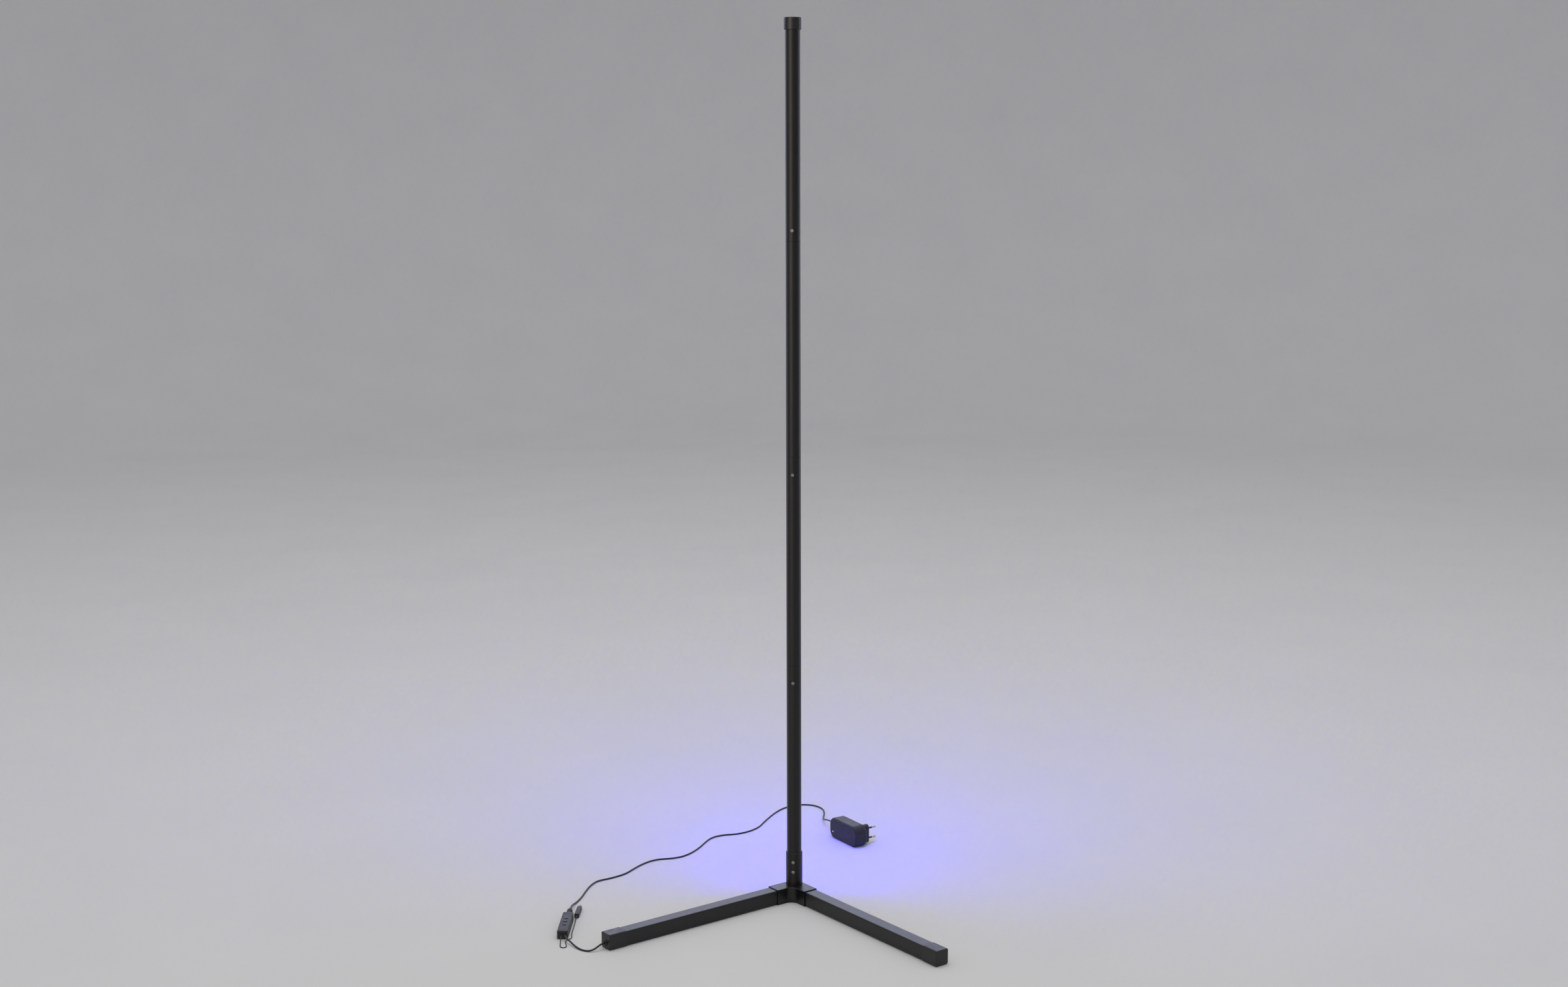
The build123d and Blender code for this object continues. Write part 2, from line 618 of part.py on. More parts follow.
# Controller: a two-part box, split at the height of its sockets
with BuildPart() as controller_base:
    with BuildSketch(CTRL):
        RectangleRounded(CTRL_W, CTRL_L, CTRL_CORNER)
    extrude(amount=JACK_Z)
    chamfer(controller_base.faces().sort_by(Axis.Z)[0].edges(), CTRL_FOOT_EDGE)
    chamfer(controller_base.faces().sort_by(Axis.Z)[-1].edges(), SEAM)
    with BuildSketch(CTRL.offset(CTRL_WALL)):
        Rectangle(CTRL_W - 2 * CTRL_WALL - 2 * BOARD_LEDGE, CTRL_L - 2 * CTRL_WALL - 2 * BOARD_LEDGE)
    extrude(amount=JACK_Z - CTRL_WALL, mode=Mode.SUBTRACT)
    with BuildSketch(CTRL.offset(BOARD_Z)):
        RectangleRounded(CTRL_W - 2 * CTRL_WALL, CTRL_L - 2 * CTRL_WALL, CTRL_CORNER - CTRL_WALL)
    extrude(amount=JACK_Z - BOARD_Z, mode=Mode.SUBTRACT)
    with BuildSketch(CTRL_FRONT):
        with Locations((CORD_SIDE, 0)):
            Circle(CORD_D / 2 + SLIDE_FIT)
        with Locations((-EYE_SIDE, 0)):
            Circle(EYE_LEAD_D / 2 + SLIDE_FIT)
    extrude(amount=-2 * CTRL_WALL, mode=Mode.SUBTRACT)
    with BuildSketch(CTRL_FAR):
        Circle(PLUG_BARREL_R + SLIDE_FIT)
    extrude(amount=-2 * CTRL_WALL, mode=Mode.SUBTRACT)

with BuildPart() as controller_cover:
    with BuildSketch(CTRL.offset(JACK_Z)):
        RectangleRounded(CTRL_W, CTRL_L, CTRL_CORNER)
    extrude(amount=CTRL_H - JACK_Z)
    fillet(controller_cover.faces().sort_by(Axis.Z)[-1].edges(), CTRL_EDGE)
    chamfer(controller_cover.faces().sort_by(Axis.Z)[0].edges(), SEAM)
    with BuildSketch(CTRL.offset(JACK_Z)):
        RectangleRounded(CTRL_W - 2 * CTRL_WALL, CTRL_L - 2 * CTRL_WALL, CTRL_CORNER - CTRL_WALL)
    extrude(amount=CTRL_ROOF - JACK_Z, mode=Mode.SUBTRACT)
    with BuildSketch(CTRL.offset(CTRL_H)):
        with Locations(*[(0, place) for place in KEY_PLACES]):
            Circle(KEY_D / 2 + KEY_FIT)
    extrude(amount=-2 * CTRL_WALL, mode=Mode.SUBTRACT)
    with BuildSketch(CTRL_FRONT):
        with Locations((CORD_SIDE, 0)):
            Circle(CORD_D / 2 + SLIDE_FIT)
        with Locations((-EYE_SIDE, 0)):
            Circle(EYE_LEAD_D / 2 + SLIDE_FIT)
    extrude(amount=-2 * CTRL_WALL, mode=Mode.SUBTRACT)
    with BuildSketch(CTRL_FAR):
        Circle(PLUG_BARREL_R + SLIDE_FIT)
    extrude(amount=-2 * CTRL_WALL, mode=Mode.SUBTRACT)

BOARD_W = CTRL_W - 2 * CTRL_WALL - 2 * SOCKET_FIT
BOARD_L = CTRL_L - 2 * CTRL_WALL - 2 * BOARD_END_GAP
BOARD_TOP = BOARD_Z + BOARD_T
with BuildPart() as controller_board:
    with BuildSketch(CTRL.offset(BOARD_Z)):
        Rectangle(BOARD_W, BOARD_L)
    extrude(amount=BOARD_T)

with BuildPart() as key_switches:
    with BuildSketch(CTRL.offset(BOARD_TOP)):
        with Locations(*[(0, place) for place in KEY_PLACES]):
            Rectangle(SWITCH_W, SWITCH_W)
    extrude(amount=SWITCH_H)
    with BuildSketch(CTRL.offset(BOARD_TOP)):
        with Locations(*[(0, place) for place in KEY_PLACES]):
            Circle(SWITCH_PLUNGER_R)
    extrude(amount=PLUNGER_TOP - BOARD_TOP)


def control_key(place: float) -> BuildPart:
    """Round key with a flange under the cover's roof."""
    with BuildPart() as key:
        with BuildSketch(CTRL.offset(KEY_BOTTOM)):
            with Locations((0, place)):
                Circle(KEY_D / 2 + KEY_FLANGE)
        extrude(amount=KEY_FLANGE_T)
        with BuildSketch(CTRL.offset(KEY_TOP_OF_FLANGE)):
            with Locations((0, place)):
                Circle(KEY_D / 2)
        extrude(amount=CTRL_H + KEY_PROUD - KEY_TOP_OF_FLANGE)
        fillet(key.faces().sort_by(Axis.Z)[-1].edges(), KEY_PROUD / 2)
    return key


control_keys = [control_key(place) for place in KEY_PLACES]

# Socket on the board for the barrel plug
with BuildPart() as dc_jack:
    with BuildSketch(CTRL_FAR.offset(-CTRL_WALL - SLIDE_FIT)):
        Rectangle(JACK_W, JACK_H)
        Circle(PLUG_BARREL_R + SLIDE_FIT, mode=Mode.SUBTRACT)
    extrude(amount=-JACK_L)

# Barrel plug with a grooved grip and a tapered tail
with BuildPart() as dc_plug:
    with BuildSketch(CTRL_FAR):
        Circle(PLUG_BARREL_R)
    extrude(amount=-PLUG_BARREL_L)
    with BuildSketch(CTRL_FAR):
        Circle(PLUG_GRIP_R)
    extrude(amount=PLUG_GRIP_L)
    fillet(dc_plug.edges().filter_by(GeomType.CIRCLE).sort_by(SortBy.RADIUS)[-2:], PLUG_GROOVE)
    for groove in range(PLUG_GROOVE_COUNT):
        with BuildSketch(CTRL_FAR.offset(PLUG_GROOVE_START + groove * PLUG_GROOVE_PITCH)):
            Circle(PLUG_GRIP_R)
            Circle(PLUG_GRIP_R - PLUG_GROOVE, mode=Mode.SUBTRACT)
        extrude(amount=PLUG_GROOVE_PITCH / 2, mode=Mode.SUBTRACT)
    with Locations(CTRL_FAR.offset(PLUG_GRIP_L)):
        Cone(PLUG_GRIP_R - 2 * PLUG_GROOVE, PLUG_TAIL_R, PLUG_TAIL_L,
             align=(Align.CENTER, Align.CENTER, Align.MIN))

# Receiver for the hand remote: a small block with a tapered boot for its lead and a domed lens
EYE_AXIS = Axis(EYE.origin, EYE.z_dir)
with BuildPart() as eye_housing:
    with BuildSketch(EYE):
        RectangleRounded(EYE_W, EYE_W, EYE_CORNER)
    extrude(amount=EYE_L)
    eye_ends = eye_housing.faces().sort_by(EYE_AXIS)
    fillet(eye_ends[0].edges() + eye_ends[-1].edges(), EYE_CORNER / 2)
    with Locations(EYE.offset(-EYE_BOOT_L)):
        Cone(EYE_BOOT_R, EYE_BOOT_ROOT_R, EYE_BOOT_L, align=(Align.CENTER, Align.CENTER, Align.MIN))

with BuildPart() as eye_lens:
    with BuildSketch(EYE.offset(EYE_L)):
        Circle(EYE_LENS_R)
    extrude(amount=EYE_LENS_L)
    fillet(eye_lens.faces().sort_by(EYE_AXIS)[-1].edges(), EYE_DOME)

# Supply: outer half with the indicator, back half with the plug's nose and pins
SUPPLY_AXIS = Axis(ADAPTER.origin, ADAPTER.z_dir)
with BuildPart() as adapter_front:
    with BuildSketch(ADAPTER.offset(-ADAPTER_D / 2)):
        RectangleRounded(ADAPTER_L, ADAPTER_W, ADAPTER_CORNER)
    extrude(amount=ADAPTER_FRONT_D)
    fillet(adapter_front.faces().sort_by(SUPPLY_AXIS)[0].edges(), ADAPTER_EDGE)
    chamfer(adapter_front.faces().sort_by(SUPPLY_AXIS)[-1].edges(), SEAM)
    with BuildSketch(ADAPTER_SPLIT):
        RectangleRounded(ADAPTER_L - 2 * ADAPTER_WALL, ADAPTER_W - 2 * ADAPTER_WALL,
                         ADAPTER_CORNER - ADAPTER_WALL)
    extrude(amount=ADAPTER_WALL - ADAPTER_FRONT_D, mode=Mode.SUBTRACT)
    with BuildSketch(ADAPTER.offset(-ADAPTER_D / 2)):
        with Locations((ADAPTER_L / 2 - INDICATOR_INSET, INDICATOR_RISE)):
            Circle(INDICATOR_R + SCREW_FIT)
    extrude(amount=ADAPTER_WALL, mode=Mode.SUBTRACT)

NOSE_PLACE = (NOSE_INSET - ADAPTER_L / 2, 0)
PIN_PLACES = [(NOSE_PLACE[0], side * PIN_SPACING / 2) for side in (-1, 1)]
NOSE_FACE = ADAPTER.offset(ADAPTER_D / 2 + NOSE_H)
with BuildPart() as adapter_back:
    with BuildSketch(ADAPTER_SPLIT):
        RectangleRounded(ADAPTER_L, ADAPTER_W, ADAPTER_CORNER)
    extrude(amount=ADAPTER_D - ADAPTER_FRONT_D)
    fillet(adapter_back.faces().sort_by(SUPPLY_AXIS)[-1].edges(), ADAPTER_EDGE)
    chamfer(adapter_back.faces().sort_by(SUPPLY_AXIS)[0].edges(), SEAM)
    with BuildSketch(ADAPTER.offset(ADAPTER_D / 2)):
        with Locations(NOSE_PLACE):
            RectangleRounded(NOSE_W, NOSE_L, NOSE_CORNER)
    extrude(amount=NOSE_H)
    with BuildSketch(ADAPTER_SPLIT):
        RectangleRounded(ADAPTER_L - 2 * ADAPTER_WALL, ADAPTER_W - 2 * ADAPTER_WALL,
                         ADAPTER_CORNER - ADAPTER_WALL)
    extrude(amount=ADAPTER_D - ADAPTER_FRONT_D - ADAPTER_WALL, mode=Mode.SUBTRACT)
    with BuildSketch(NOSE_FACE):
        with Locations(*PIN_PLACES):
            Circle(PIN_NECK_R + SCREW_FIT)
    extrude(amount=-PIN_ROOT, mode=Mode.SUBTRACT)

# Round pins with a thin neck, and an insulating sleeve on each neck
with BuildPart() as plug_pins:
    with BuildSketch(NOSE_FACE.offset(-PIN_ROOT)):
        with Locations(*PIN_PLACES):
            Circle(PIN_NECK_R)
    extrude(amount=PIN_ROOT + PIN_SLEEVE_L)
    with BuildSketch(NOSE_FACE.offset(PIN_SLEEVE_L)):
        with Locations(*PIN_PLACES):
            Circle(PIN_R)
    extrude(amount=PIN_L - PIN_SLEEVE_L)
    tips = plug_pins.edges().filter_by(GeomType.CIRCLE).group_by(SUPPLY_AXIS)[-1]
    fillet(tips, PIN_TIP)

with BuildPart() as pin_sleeves:
    with BuildSketch(NOSE_FACE):
        with Locations(*PIN_PLACES):
            Circle(PIN_SLEEVE_R)
            Circle(PIN_NECK_R + SCREW_FIT, mode=Mode.SUBTRACT)
    extrude(amount=PIN_SLEEVE_L)

with BuildPart() as adapter_indicator:
    with BuildSketch(ADAPTER.offset(ADAPTER_WALL - ADAPTER_D / 2)):
        with Locations((ADAPTER_L / 2 - INDICATOR_INSET, INDICATOR_RISE)):
            Circle(INDICATOR_R)
    extrude(amount=-ADAPTER_WALL - INDICATOR_PROUD)
    dome = adapter_indicator.faces().sort_by(SUPPLY_AXIS)[0]
    fillet(dome.edges(), INDICATOR_PROUD)

with BuildPart() as adapter_board:
    with BuildSketch(ADAPTER.offset(SUPPLY_BOARD_Z)):
        Rectangle(ADAPTER_L - 2 * ADAPTER_CORNER, ADAPTER_W - 2 * ADAPTER_WALL - 2 * SUPPLY_BOARD_GAP)
    extrude(amount=SUPPLY_BOARD_T)

with BuildPart() as adapter_transformer:
    with BuildSketch(ADAPTER.offset(SUPPLY_BOARD_Z)):
        Rectangle(COIL_L, COIL_W)
    extrude(amount=-COIL_H)
    fillet(adapter_transformer.edges().filter_by(SUPPLY_AXIS), COIL_EDGE)

# Grooved, tapered relief where the supply's cord leaves it
with BuildPart() as strain_relief:
    with Locations(RELIEF):
        Cone(RELIEF_ROOT_R, RELIEF_TIP_R, RELIEF_L, align=(Align.CENTER, Align.CENTER, Align.MIN))
    for groove in range(RELIEF_GROOVE_COUNT):
        start = RELIEF_GROOVE_PITCH * (groove + 1)
        taper = (RELIEF_ROOT_R - RELIEF_TIP_R) / RELIEF_L
        with BuildSketch(RELIEF.offset(start)):
            Circle(RELIEF_ROOT_R)
            Circle(RELIEF_ROOT_R - taper * start - RELIEF_GROOVE, mode=Mode.SUBTRACT)
        extrude(amount=RELIEF_GROOVE_PITCH / 2, mode=Mode.SUBTRACT)

# Cords on the floor. Each route is a list of places chosen by hand, from its exit to its far end
LAMP_CORD_ROUTE = [
    lead_out,
    lead_out + LEFT_LEG.z_dir * CORD_EXIT_L,
    Vector(-283.4, -284.2, 7.9),
    Vector(-289.0, -288.6, 4.2),
    Vector(-296.5, -290.9, 1.9),
    Vector(-305.5, -289.7, 1.5),
    Vector(-315.0, -284.0, 1.6),
    Vector(-324.7, -275.4, 2.8),
    Vector(-334.3, -265.0, 5.2),
    CTRL_FRONT.from_local_coords(Vector(CORD_SIDE, 0, CORD_ENTRY_L)),
    CTRL_FRONT.from_local_coords(Vector(CORD_SIDE, 0, -CTRL_WALL)),
]
EYE_LEAD_ROUTE = [
    CTRL_FRONT.from_local_coords(Vector(-EYE_SIDE, 0, -CTRL_WALL)),
    CTRL_FRONT.from_local_coords(Vector(-EYE_SIDE, 0, EYE_EXIT_L)),
    Vector(-353.6, -254.6, 5.6),
    Vector(-352.4, -262.2, 2.4),
    Vector(-350.9, -269.2, 0.9),
    Vector(-349.6, -275.0, 0.8),
    Vector(-347.0, -279.0, 0.9),
    Vector(-342.9, -280.6, 0.8),
    Vector(-339.6, -278.0, 0.9),
    Vector(-339.2, -273.6, 0.8),
    Vector(-341.6, -266.5, 0.9),
    Vector(-344.4, -259.6, 0.8),
    Vector(-346.0, -252.8, 0.9),
    Vector(-344.9, -247.2, 0.8),
    Vector(-341.2, -242.0, 0.9),
    Vector(-339.6, -235.2, 0.8),
    Vector(-342.4, -226.2, 0.9),
    Vector(-344.7, -214.0, 0.8),
    Vector(-346.7, -199.0, 0.9),
    Vector(-348.6, -184.0, 0.8),
    Vector(-350.3, -169.5, 1.0),
    EYE.from_local_coords(Vector(0, 0, -EYE_BOOT_L - EYE_ENTRY_L)),
    EYE.from_local_coords(Vector(0, 0, -EYE_BOOT_L)),
]
ADAPTER_CORD_ROUTE = [
    CTRL_FAR.from_local_coords(Vector(0, 0, PLUG_GRIP_L + PLUG_TAIL_L)),
    CTRL_FAR.from_local_coords(Vector(0, 0, PLUG_GRIP_L + PLUG_TAIL_L + PLUG_EXIT_L)),
    Vector(-373.5, -92.0, 3.6),
    Vector(-375.0, -74.0, 1.6),
    Vector(-373.0, -50.0, 1.5),
    Vector(-368.0, -24.0, 1.6),
    Vector(-364.5, 4.0, 1.5),
    Vector(-354.0, 31.0, 1.6),
    Vector(-335.0, 51.0, 1.5),
    Vector(-318.0, 75.0, 1.6),
    Vector(-309.0, 105.0, 1.5),
    Vector(-297.0, 136.0, 1.6),
    Vector(-279.0, 160.0, 1.5),
    Vector(-254.0, 168.0, 1.6),
    Vector(-234.0, 180.0, 1.5),
    Vector(-220.0, 205.0, 1.6),
    Vector(-211.0, 236.0, 1.5),
    Vector(-206.0, 267.0, 1.6),
    Vector(-199.0, 296.0, 1.5),
    Vector(-181.0, 314.0, 1.6),
    Vector(-155.0, 322.0, 1.5),
    Vector(-133.0, 341.0, 1.6),
    Vector(-118.0, 369.0, 1.5),
    Vector(-113.5, 401.0, 1.6),
    Vector(-107.0, 433.0, 1.5),
    Vector(-99.0, 466.0, 1.6),
    Vector(-86.0, 498.0, 1.5),
    Vector(-62.0, 521.0, 1.6),
    Vector(-31.0, 523.0, 1.5),
    Vector(-9.0, 502.0, 1.6),
    Vector(-2.0, 471.0, 1.5),
    Vector(-1.5, 441.0, 2.4),
    Vector(3.5, 413.0, 8.2),
    Vector(11.5, 389.0, 15.8),
    RELIEF.from_local_coords(Vector(0, 0, RELIEF_L + RELIEF_EXIT_L)),
    RELIEF.from_local_coords(Vector(0, 0, RELIEF_L)),
]
lamp_cord = cord_along("lamp_cord", LAMP_CORD_ROUTE, CORD_D)
eye_lead = cord_along("eye_lead", EYE_LEAD_ROUTE, EYE_LEAD_D)
adapter_cord = cord_along("adapter_cord", ADAPTER_CORD_ROUTE, CORD_D)

PIECES = {
    "base_hub": base_hub,
    "column_sleeve": column_sleeve,
    "left_leg": left_leg,
    "right_leg": right_leg,
    "left_end_cap": left_end_cap,
    "right_end_cap": right_end_cap,
    "cord_grommet": cord_grommet,
    "foot_pads": foot_pads,
    "leg_screws": leg_screws,
    "sleeve_screws": sleeve_screws,
    "coupler_screws": coupler_screws,
    "top_cap": top_cap,
    "led_tape": led_tape,
    "led_chips": led_chips,
    "diffuser": diffuser,
    "column_lead": column_lead,
    "controller_base": controller_base,
    "controller_cover": controller_cover,
    "controller_board": controller_board,
    "key_switches": key_switches,
    "dc_jack": dc_jack,
    "dc_plug": dc_plug,
    "eye_housing": eye_housing,
    "eye_lens": eye_lens,
    "adapter_front": adapter_front,
    "adapter_back": adapter_back,
    "plug_pins": plug_pins,
    "pin_sleeves": pin_sleeves,
    "adapter_indicator": adapter_indicator,
    "adapter_board": adapter_board,
    "adapter_transformer": adapter_transformer,
    "strain_relief": strain_relief,
    "lamp_cord": lamp_cord,
    "eye_lead": eye_lead,
    "adapter_cord": adapter_cord,
}
for number, piece in enumerate(column_sections, start=1):
    PIECES[f"column_section_{number}"] = piece
for number, piece in enumerate(section_couplers, start=1):
    PIECES[f"section_coupler_{number}"] = piece
for name, piece in zip(("power_key", "colour_key", "mode_key"), control_keys):
    PIECES[name] = piece

for name, piece in PIECES.items():
    piece.part.label = name
    export_step(piece.part, f"parts/{name}.step")
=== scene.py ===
"""Looks of a corner floor lamp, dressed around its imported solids.

The lamp stands on the floor at z = 0 with its column on the Z axis. The legs open towards -Y and the light
leaves the column towards +Y. Lengths are in metres, and those whose name ends in _mm are in millimetres.
"""

import logging
import math
from dataclasses import dataclass
from enum import Enum
from functools import lru_cache

import bpy
from mathutils import Matrix, Vector


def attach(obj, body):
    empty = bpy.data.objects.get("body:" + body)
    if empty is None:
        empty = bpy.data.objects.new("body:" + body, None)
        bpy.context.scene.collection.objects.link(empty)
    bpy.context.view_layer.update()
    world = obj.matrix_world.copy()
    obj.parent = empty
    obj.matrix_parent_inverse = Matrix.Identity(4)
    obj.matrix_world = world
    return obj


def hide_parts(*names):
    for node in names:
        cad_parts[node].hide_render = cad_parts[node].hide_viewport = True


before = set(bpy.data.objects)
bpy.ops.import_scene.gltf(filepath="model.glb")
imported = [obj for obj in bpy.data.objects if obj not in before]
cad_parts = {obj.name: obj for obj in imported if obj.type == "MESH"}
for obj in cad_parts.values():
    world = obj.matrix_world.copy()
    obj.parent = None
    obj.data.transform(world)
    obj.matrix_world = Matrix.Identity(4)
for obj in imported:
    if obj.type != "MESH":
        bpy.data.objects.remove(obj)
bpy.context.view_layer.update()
NODES: dict[str, bpy.types.Object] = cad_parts
ROOT_BODY = "lamp"
LOG = logging.getLogger("corner_lamp")

Point = tuple[float, float, float]


def linear(hex_colour: str) -> tuple[float, float, float, float]:
    """Turn an sRGB colour into the linear values that shaders take.

    Args:
        hex_colour: six hex digits, with or without a leading hash.

    Returns:
        Linear red, green and blue, and an alpha of one.
    """
    digits = hex_colour.lstrip("#")
    parts = [int(digits[start:start + 2], 16) / 255 for start in (0, 2, 4)]
    red, green, blue = (part / 12.92 if part <= 0.04045 else ((part + 0.055) / 1.055) ** 2.4 for part in parts)
    return red, green, blue, 1.0


def per_mm(size_mm: float) -> float:
    """Texture scale, in repeats per metre, of a pattern that repeats every size_mm."""
    return 1000.0 / size_mm


def metres(size_mm: float) -> float:
    """A size given in millimetres, in metres."""
    return size_mm / 1000.0


def add_node(tree: bpy.types.NodeTree, kind: str, settings: dict | None = None,
             inputs: dict | None = None) -> bpy.types.Node:
    """Add one node with its settings, and feed or link its inputs.

    Args:
        tree: the material's node tree.
        kind: the node's type name.
        settings: properties of the node itself.
        inputs: values by socket name or number; a socket as value makes a link.

    Returns:
        The new node.
    """
    node = tree.nodes.new(kind)
    for name, value in (settings or {}).items():
        setattr(node, name, value)
    for name, value in (inputs or {}).items():
        if isinstance(value, bpy.types.NodeSocket):
            tree.links.new(value, node.inputs[name])
        else:
            node.inputs[name].default_value = value
    return node


@dataclass(frozen=True)
class Finish:
    """One real material and how its surface was made."""

    name: str
    tint: str
    roughness: float

    def shade(self, tree: bpy.types.NodeTree) -> bpy.types.Node:
        """Build the shader of this finish; each kind has its own."""
        raise NotImplementedError(self.name)


@lru_cache(maxsize=None)
def material_of(finish: Finish) -> bpy.types.Material:
    """Make the material of a finish, once.

    Args:
        finish: what the piece is made of.

    Returns:
        The node material that pieces of that finish share.
    """
    material = bpy.data.materials.new(finish.name)
    material.use_nodes = True
    tree = material.node_tree
    tree.nodes.clear()
    shader = finish.shade(tree)
    add_node(tree, "ShaderNodeOutputMaterial", inputs={"Surface": shader.outputs["BSDF"]})
    return material


def dress(node: str, finish: Finish) -> None:
    """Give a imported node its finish.

    Args:
        node: the node's name.
        finish: what it is made of.
    """
    mesh = NODES[node].data
    mesh.materials.clear()
    mesh.materials.append(material_of(finish))
    LOG.info("%s: %s", node, finish.name)


@dataclass(frozen=True)
class AnodisedAluminium(Finish):
    """Extruded aluminium, etched satin and dyed black: die lines run along the bar under a soft sheen."""

    worn_tint: str = "#1c1b1f"
    line_mm: float = 0.9
    line_run_mm: float = 220.0
    cloud_mm: float = 60.0
    line_depth_mm: float = 0.02
    line_relief: float = 0.6
    cloud_share: float = 0.35
    smoother: float = 0.06
    rougher: float = 0.07
    metallic: float = 0.35
    coat: float = 0.2
    coat_roughness: float = 0.3

    def shade(self, tree: bpy.types.NodeTree) -> bpy.types.Node:
        """Die lines in gloss and relief, and a faint cloudiness from the dye bath.

        Args:
            tree: the material's node tree.

        Returns:
            The shader node.
        """
        place = add_node(tree, "ShaderNodeTexCoord").outputs["Object"]
        # Real die lines are about 0.2 mm apart; they are drawn coarser so that they show
        drawn = add_node(tree, "ShaderNodeMapping", inputs={
            "Vector": place,
            "Scale": (per_mm(self.line_mm), per_mm(self.line_mm), per_mm(self.line_run_mm))})
        lines = add_node(tree, "ShaderNodeTexNoise", inputs={
            "Vector": drawn.outputs[0], "Scale": 1.0, "Detail": 3.0, "Roughness": 0.6})
        cloud = add_node(tree, "ShaderNodeTexNoise", inputs={
            "Vector": place, "Scale": per_mm(self.cloud_mm), "Detail": 4.0, "Roughness": 0.55})
        tone = add_node(tree, "ShaderNodeMapRange", inputs={
            "Value": cloud.outputs["Fac"], "From Min": 0.35, "From Max": 0.75,
            "To Min": 0.0, "To Max": self.cloud_share})
        colour = add_node(tree, "ShaderNodeMix", {"data_type": "RGBA"}, {
            0: tone.outputs["Result"], 6: linear(self.tint), 7: linear(self.worn_tint)})
        gloss = add_node(tree, "ShaderNodeMapRange", inputs={
            "Value": lines.outputs["Fac"], "From Min": 0.3, "From Max": 0.7,
            "To Min": self.roughness - self.smoother, "To Max": self.roughness + self.rougher})
        relief = add_node(tree, "ShaderNodeBump", inputs={
            "Height": lines.outputs["Fac"], "Strength": self.line_relief,
            "Distance": metres(self.line_depth_mm)})
        return add_node(tree, "ShaderNodeBsdfPrincipled", inputs={
            "Base Color": colour.outputs[2], "Roughness": gloss.outputs["Result"],
            "Normal": relief.outputs["Normal"], "Metallic": self.metallic, "Coat Weight": self.coat,
            "Coat Roughness": self.coat_roughness})


@dataclass(frozen=True)
class PowderCoat(Finish):
    """Black powder coat on steel: fine orange peel, satin, with a trace of dust on what faces up."""

    dust_tint: str = "#504d4b"
    peel_mm: float = 1.4
    peel_depth_mm: float = 0.05
    peel_relief: float = 0.6
    dust_mm: float = 9.0
    dust_share: float = 0.07
    smoother: float = 0.03
    rougher: float = 0.04
    ior: float = 1.5

    def shade(self, tree: bpy.types.NodeTree) -> bpy.types.Node:
        """Orange peel in relief, uneven gloss, and dust that lies on upper faces only.

        Args:
            tree: the material's node tree.

        Returns:
            The shader node.
        """
        place = add_node(tree, "ShaderNodeTexCoord").outputs["Object"]
        # The peel of a fine-texture coat is about 0.5 mm across; it is drawn coarser so that it shows
        peel = add_node(tree, "ShaderNodeTexVoronoi", {"feature": "SMOOTH_F1"}, {
            "Vector": place, "Scale": per_mm(self.peel_mm), "Smoothness": 0.7, "Randomness": 1.0})
        patches = add_node(tree, "ShaderNodeTexNoise", inputs={
            "Vector": place, "Scale": per_mm(self.dust_mm), "Detail": 6.0, "Roughness": 0.65})
        facing = add_node(tree, "ShaderNodeSeparateXYZ", inputs={
            "Vector": add_node(tree, "ShaderNodeNewGeometry").outputs["Normal"]})
        upward = add_node(tree, "ShaderNodeMapRange", inputs={
            "Value": facing.outputs["Z"], "From Min": 0.5, "From Max": 1.0,
            "To Min": 0.0, "To Max": self.dust_share})
        dust = add_node(tree, "ShaderNodeMath", {"operation": "MULTIPLY"}, {
            0: upward.outputs["Result"], 1: patches.outputs["Fac"]})
        colour = add_node(tree, "ShaderNodeMix", {"data_type": "RGBA"}, {
            0: dust.outputs[0], 6: linear(self.tint), 7: linear(self.dust_tint)})
        gloss = add_node(tree, "ShaderNodeMapRange", inputs={
            "Value": patches.outputs["Fac"], "From Min": 0.3, "From Max": 0.7,
            "To Min": self.roughness - self.smoother, "To Max": self.roughness + self.rougher})
        relief = add_node(tree, "ShaderNodeBump", inputs={
            "Height": peel.outputs["Distance"], "Strength": self.peel_relief,
            "Distance": metres(self.peel_depth_mm)})
        return add_node(tree, "ShaderNodeBsdfPrincipled", inputs={
            "Base Color": colour.outputs[2], "Roughness": gloss.outputs["Result"],
            "Normal": relief.outputs["Normal"], "IOR": self.ior})


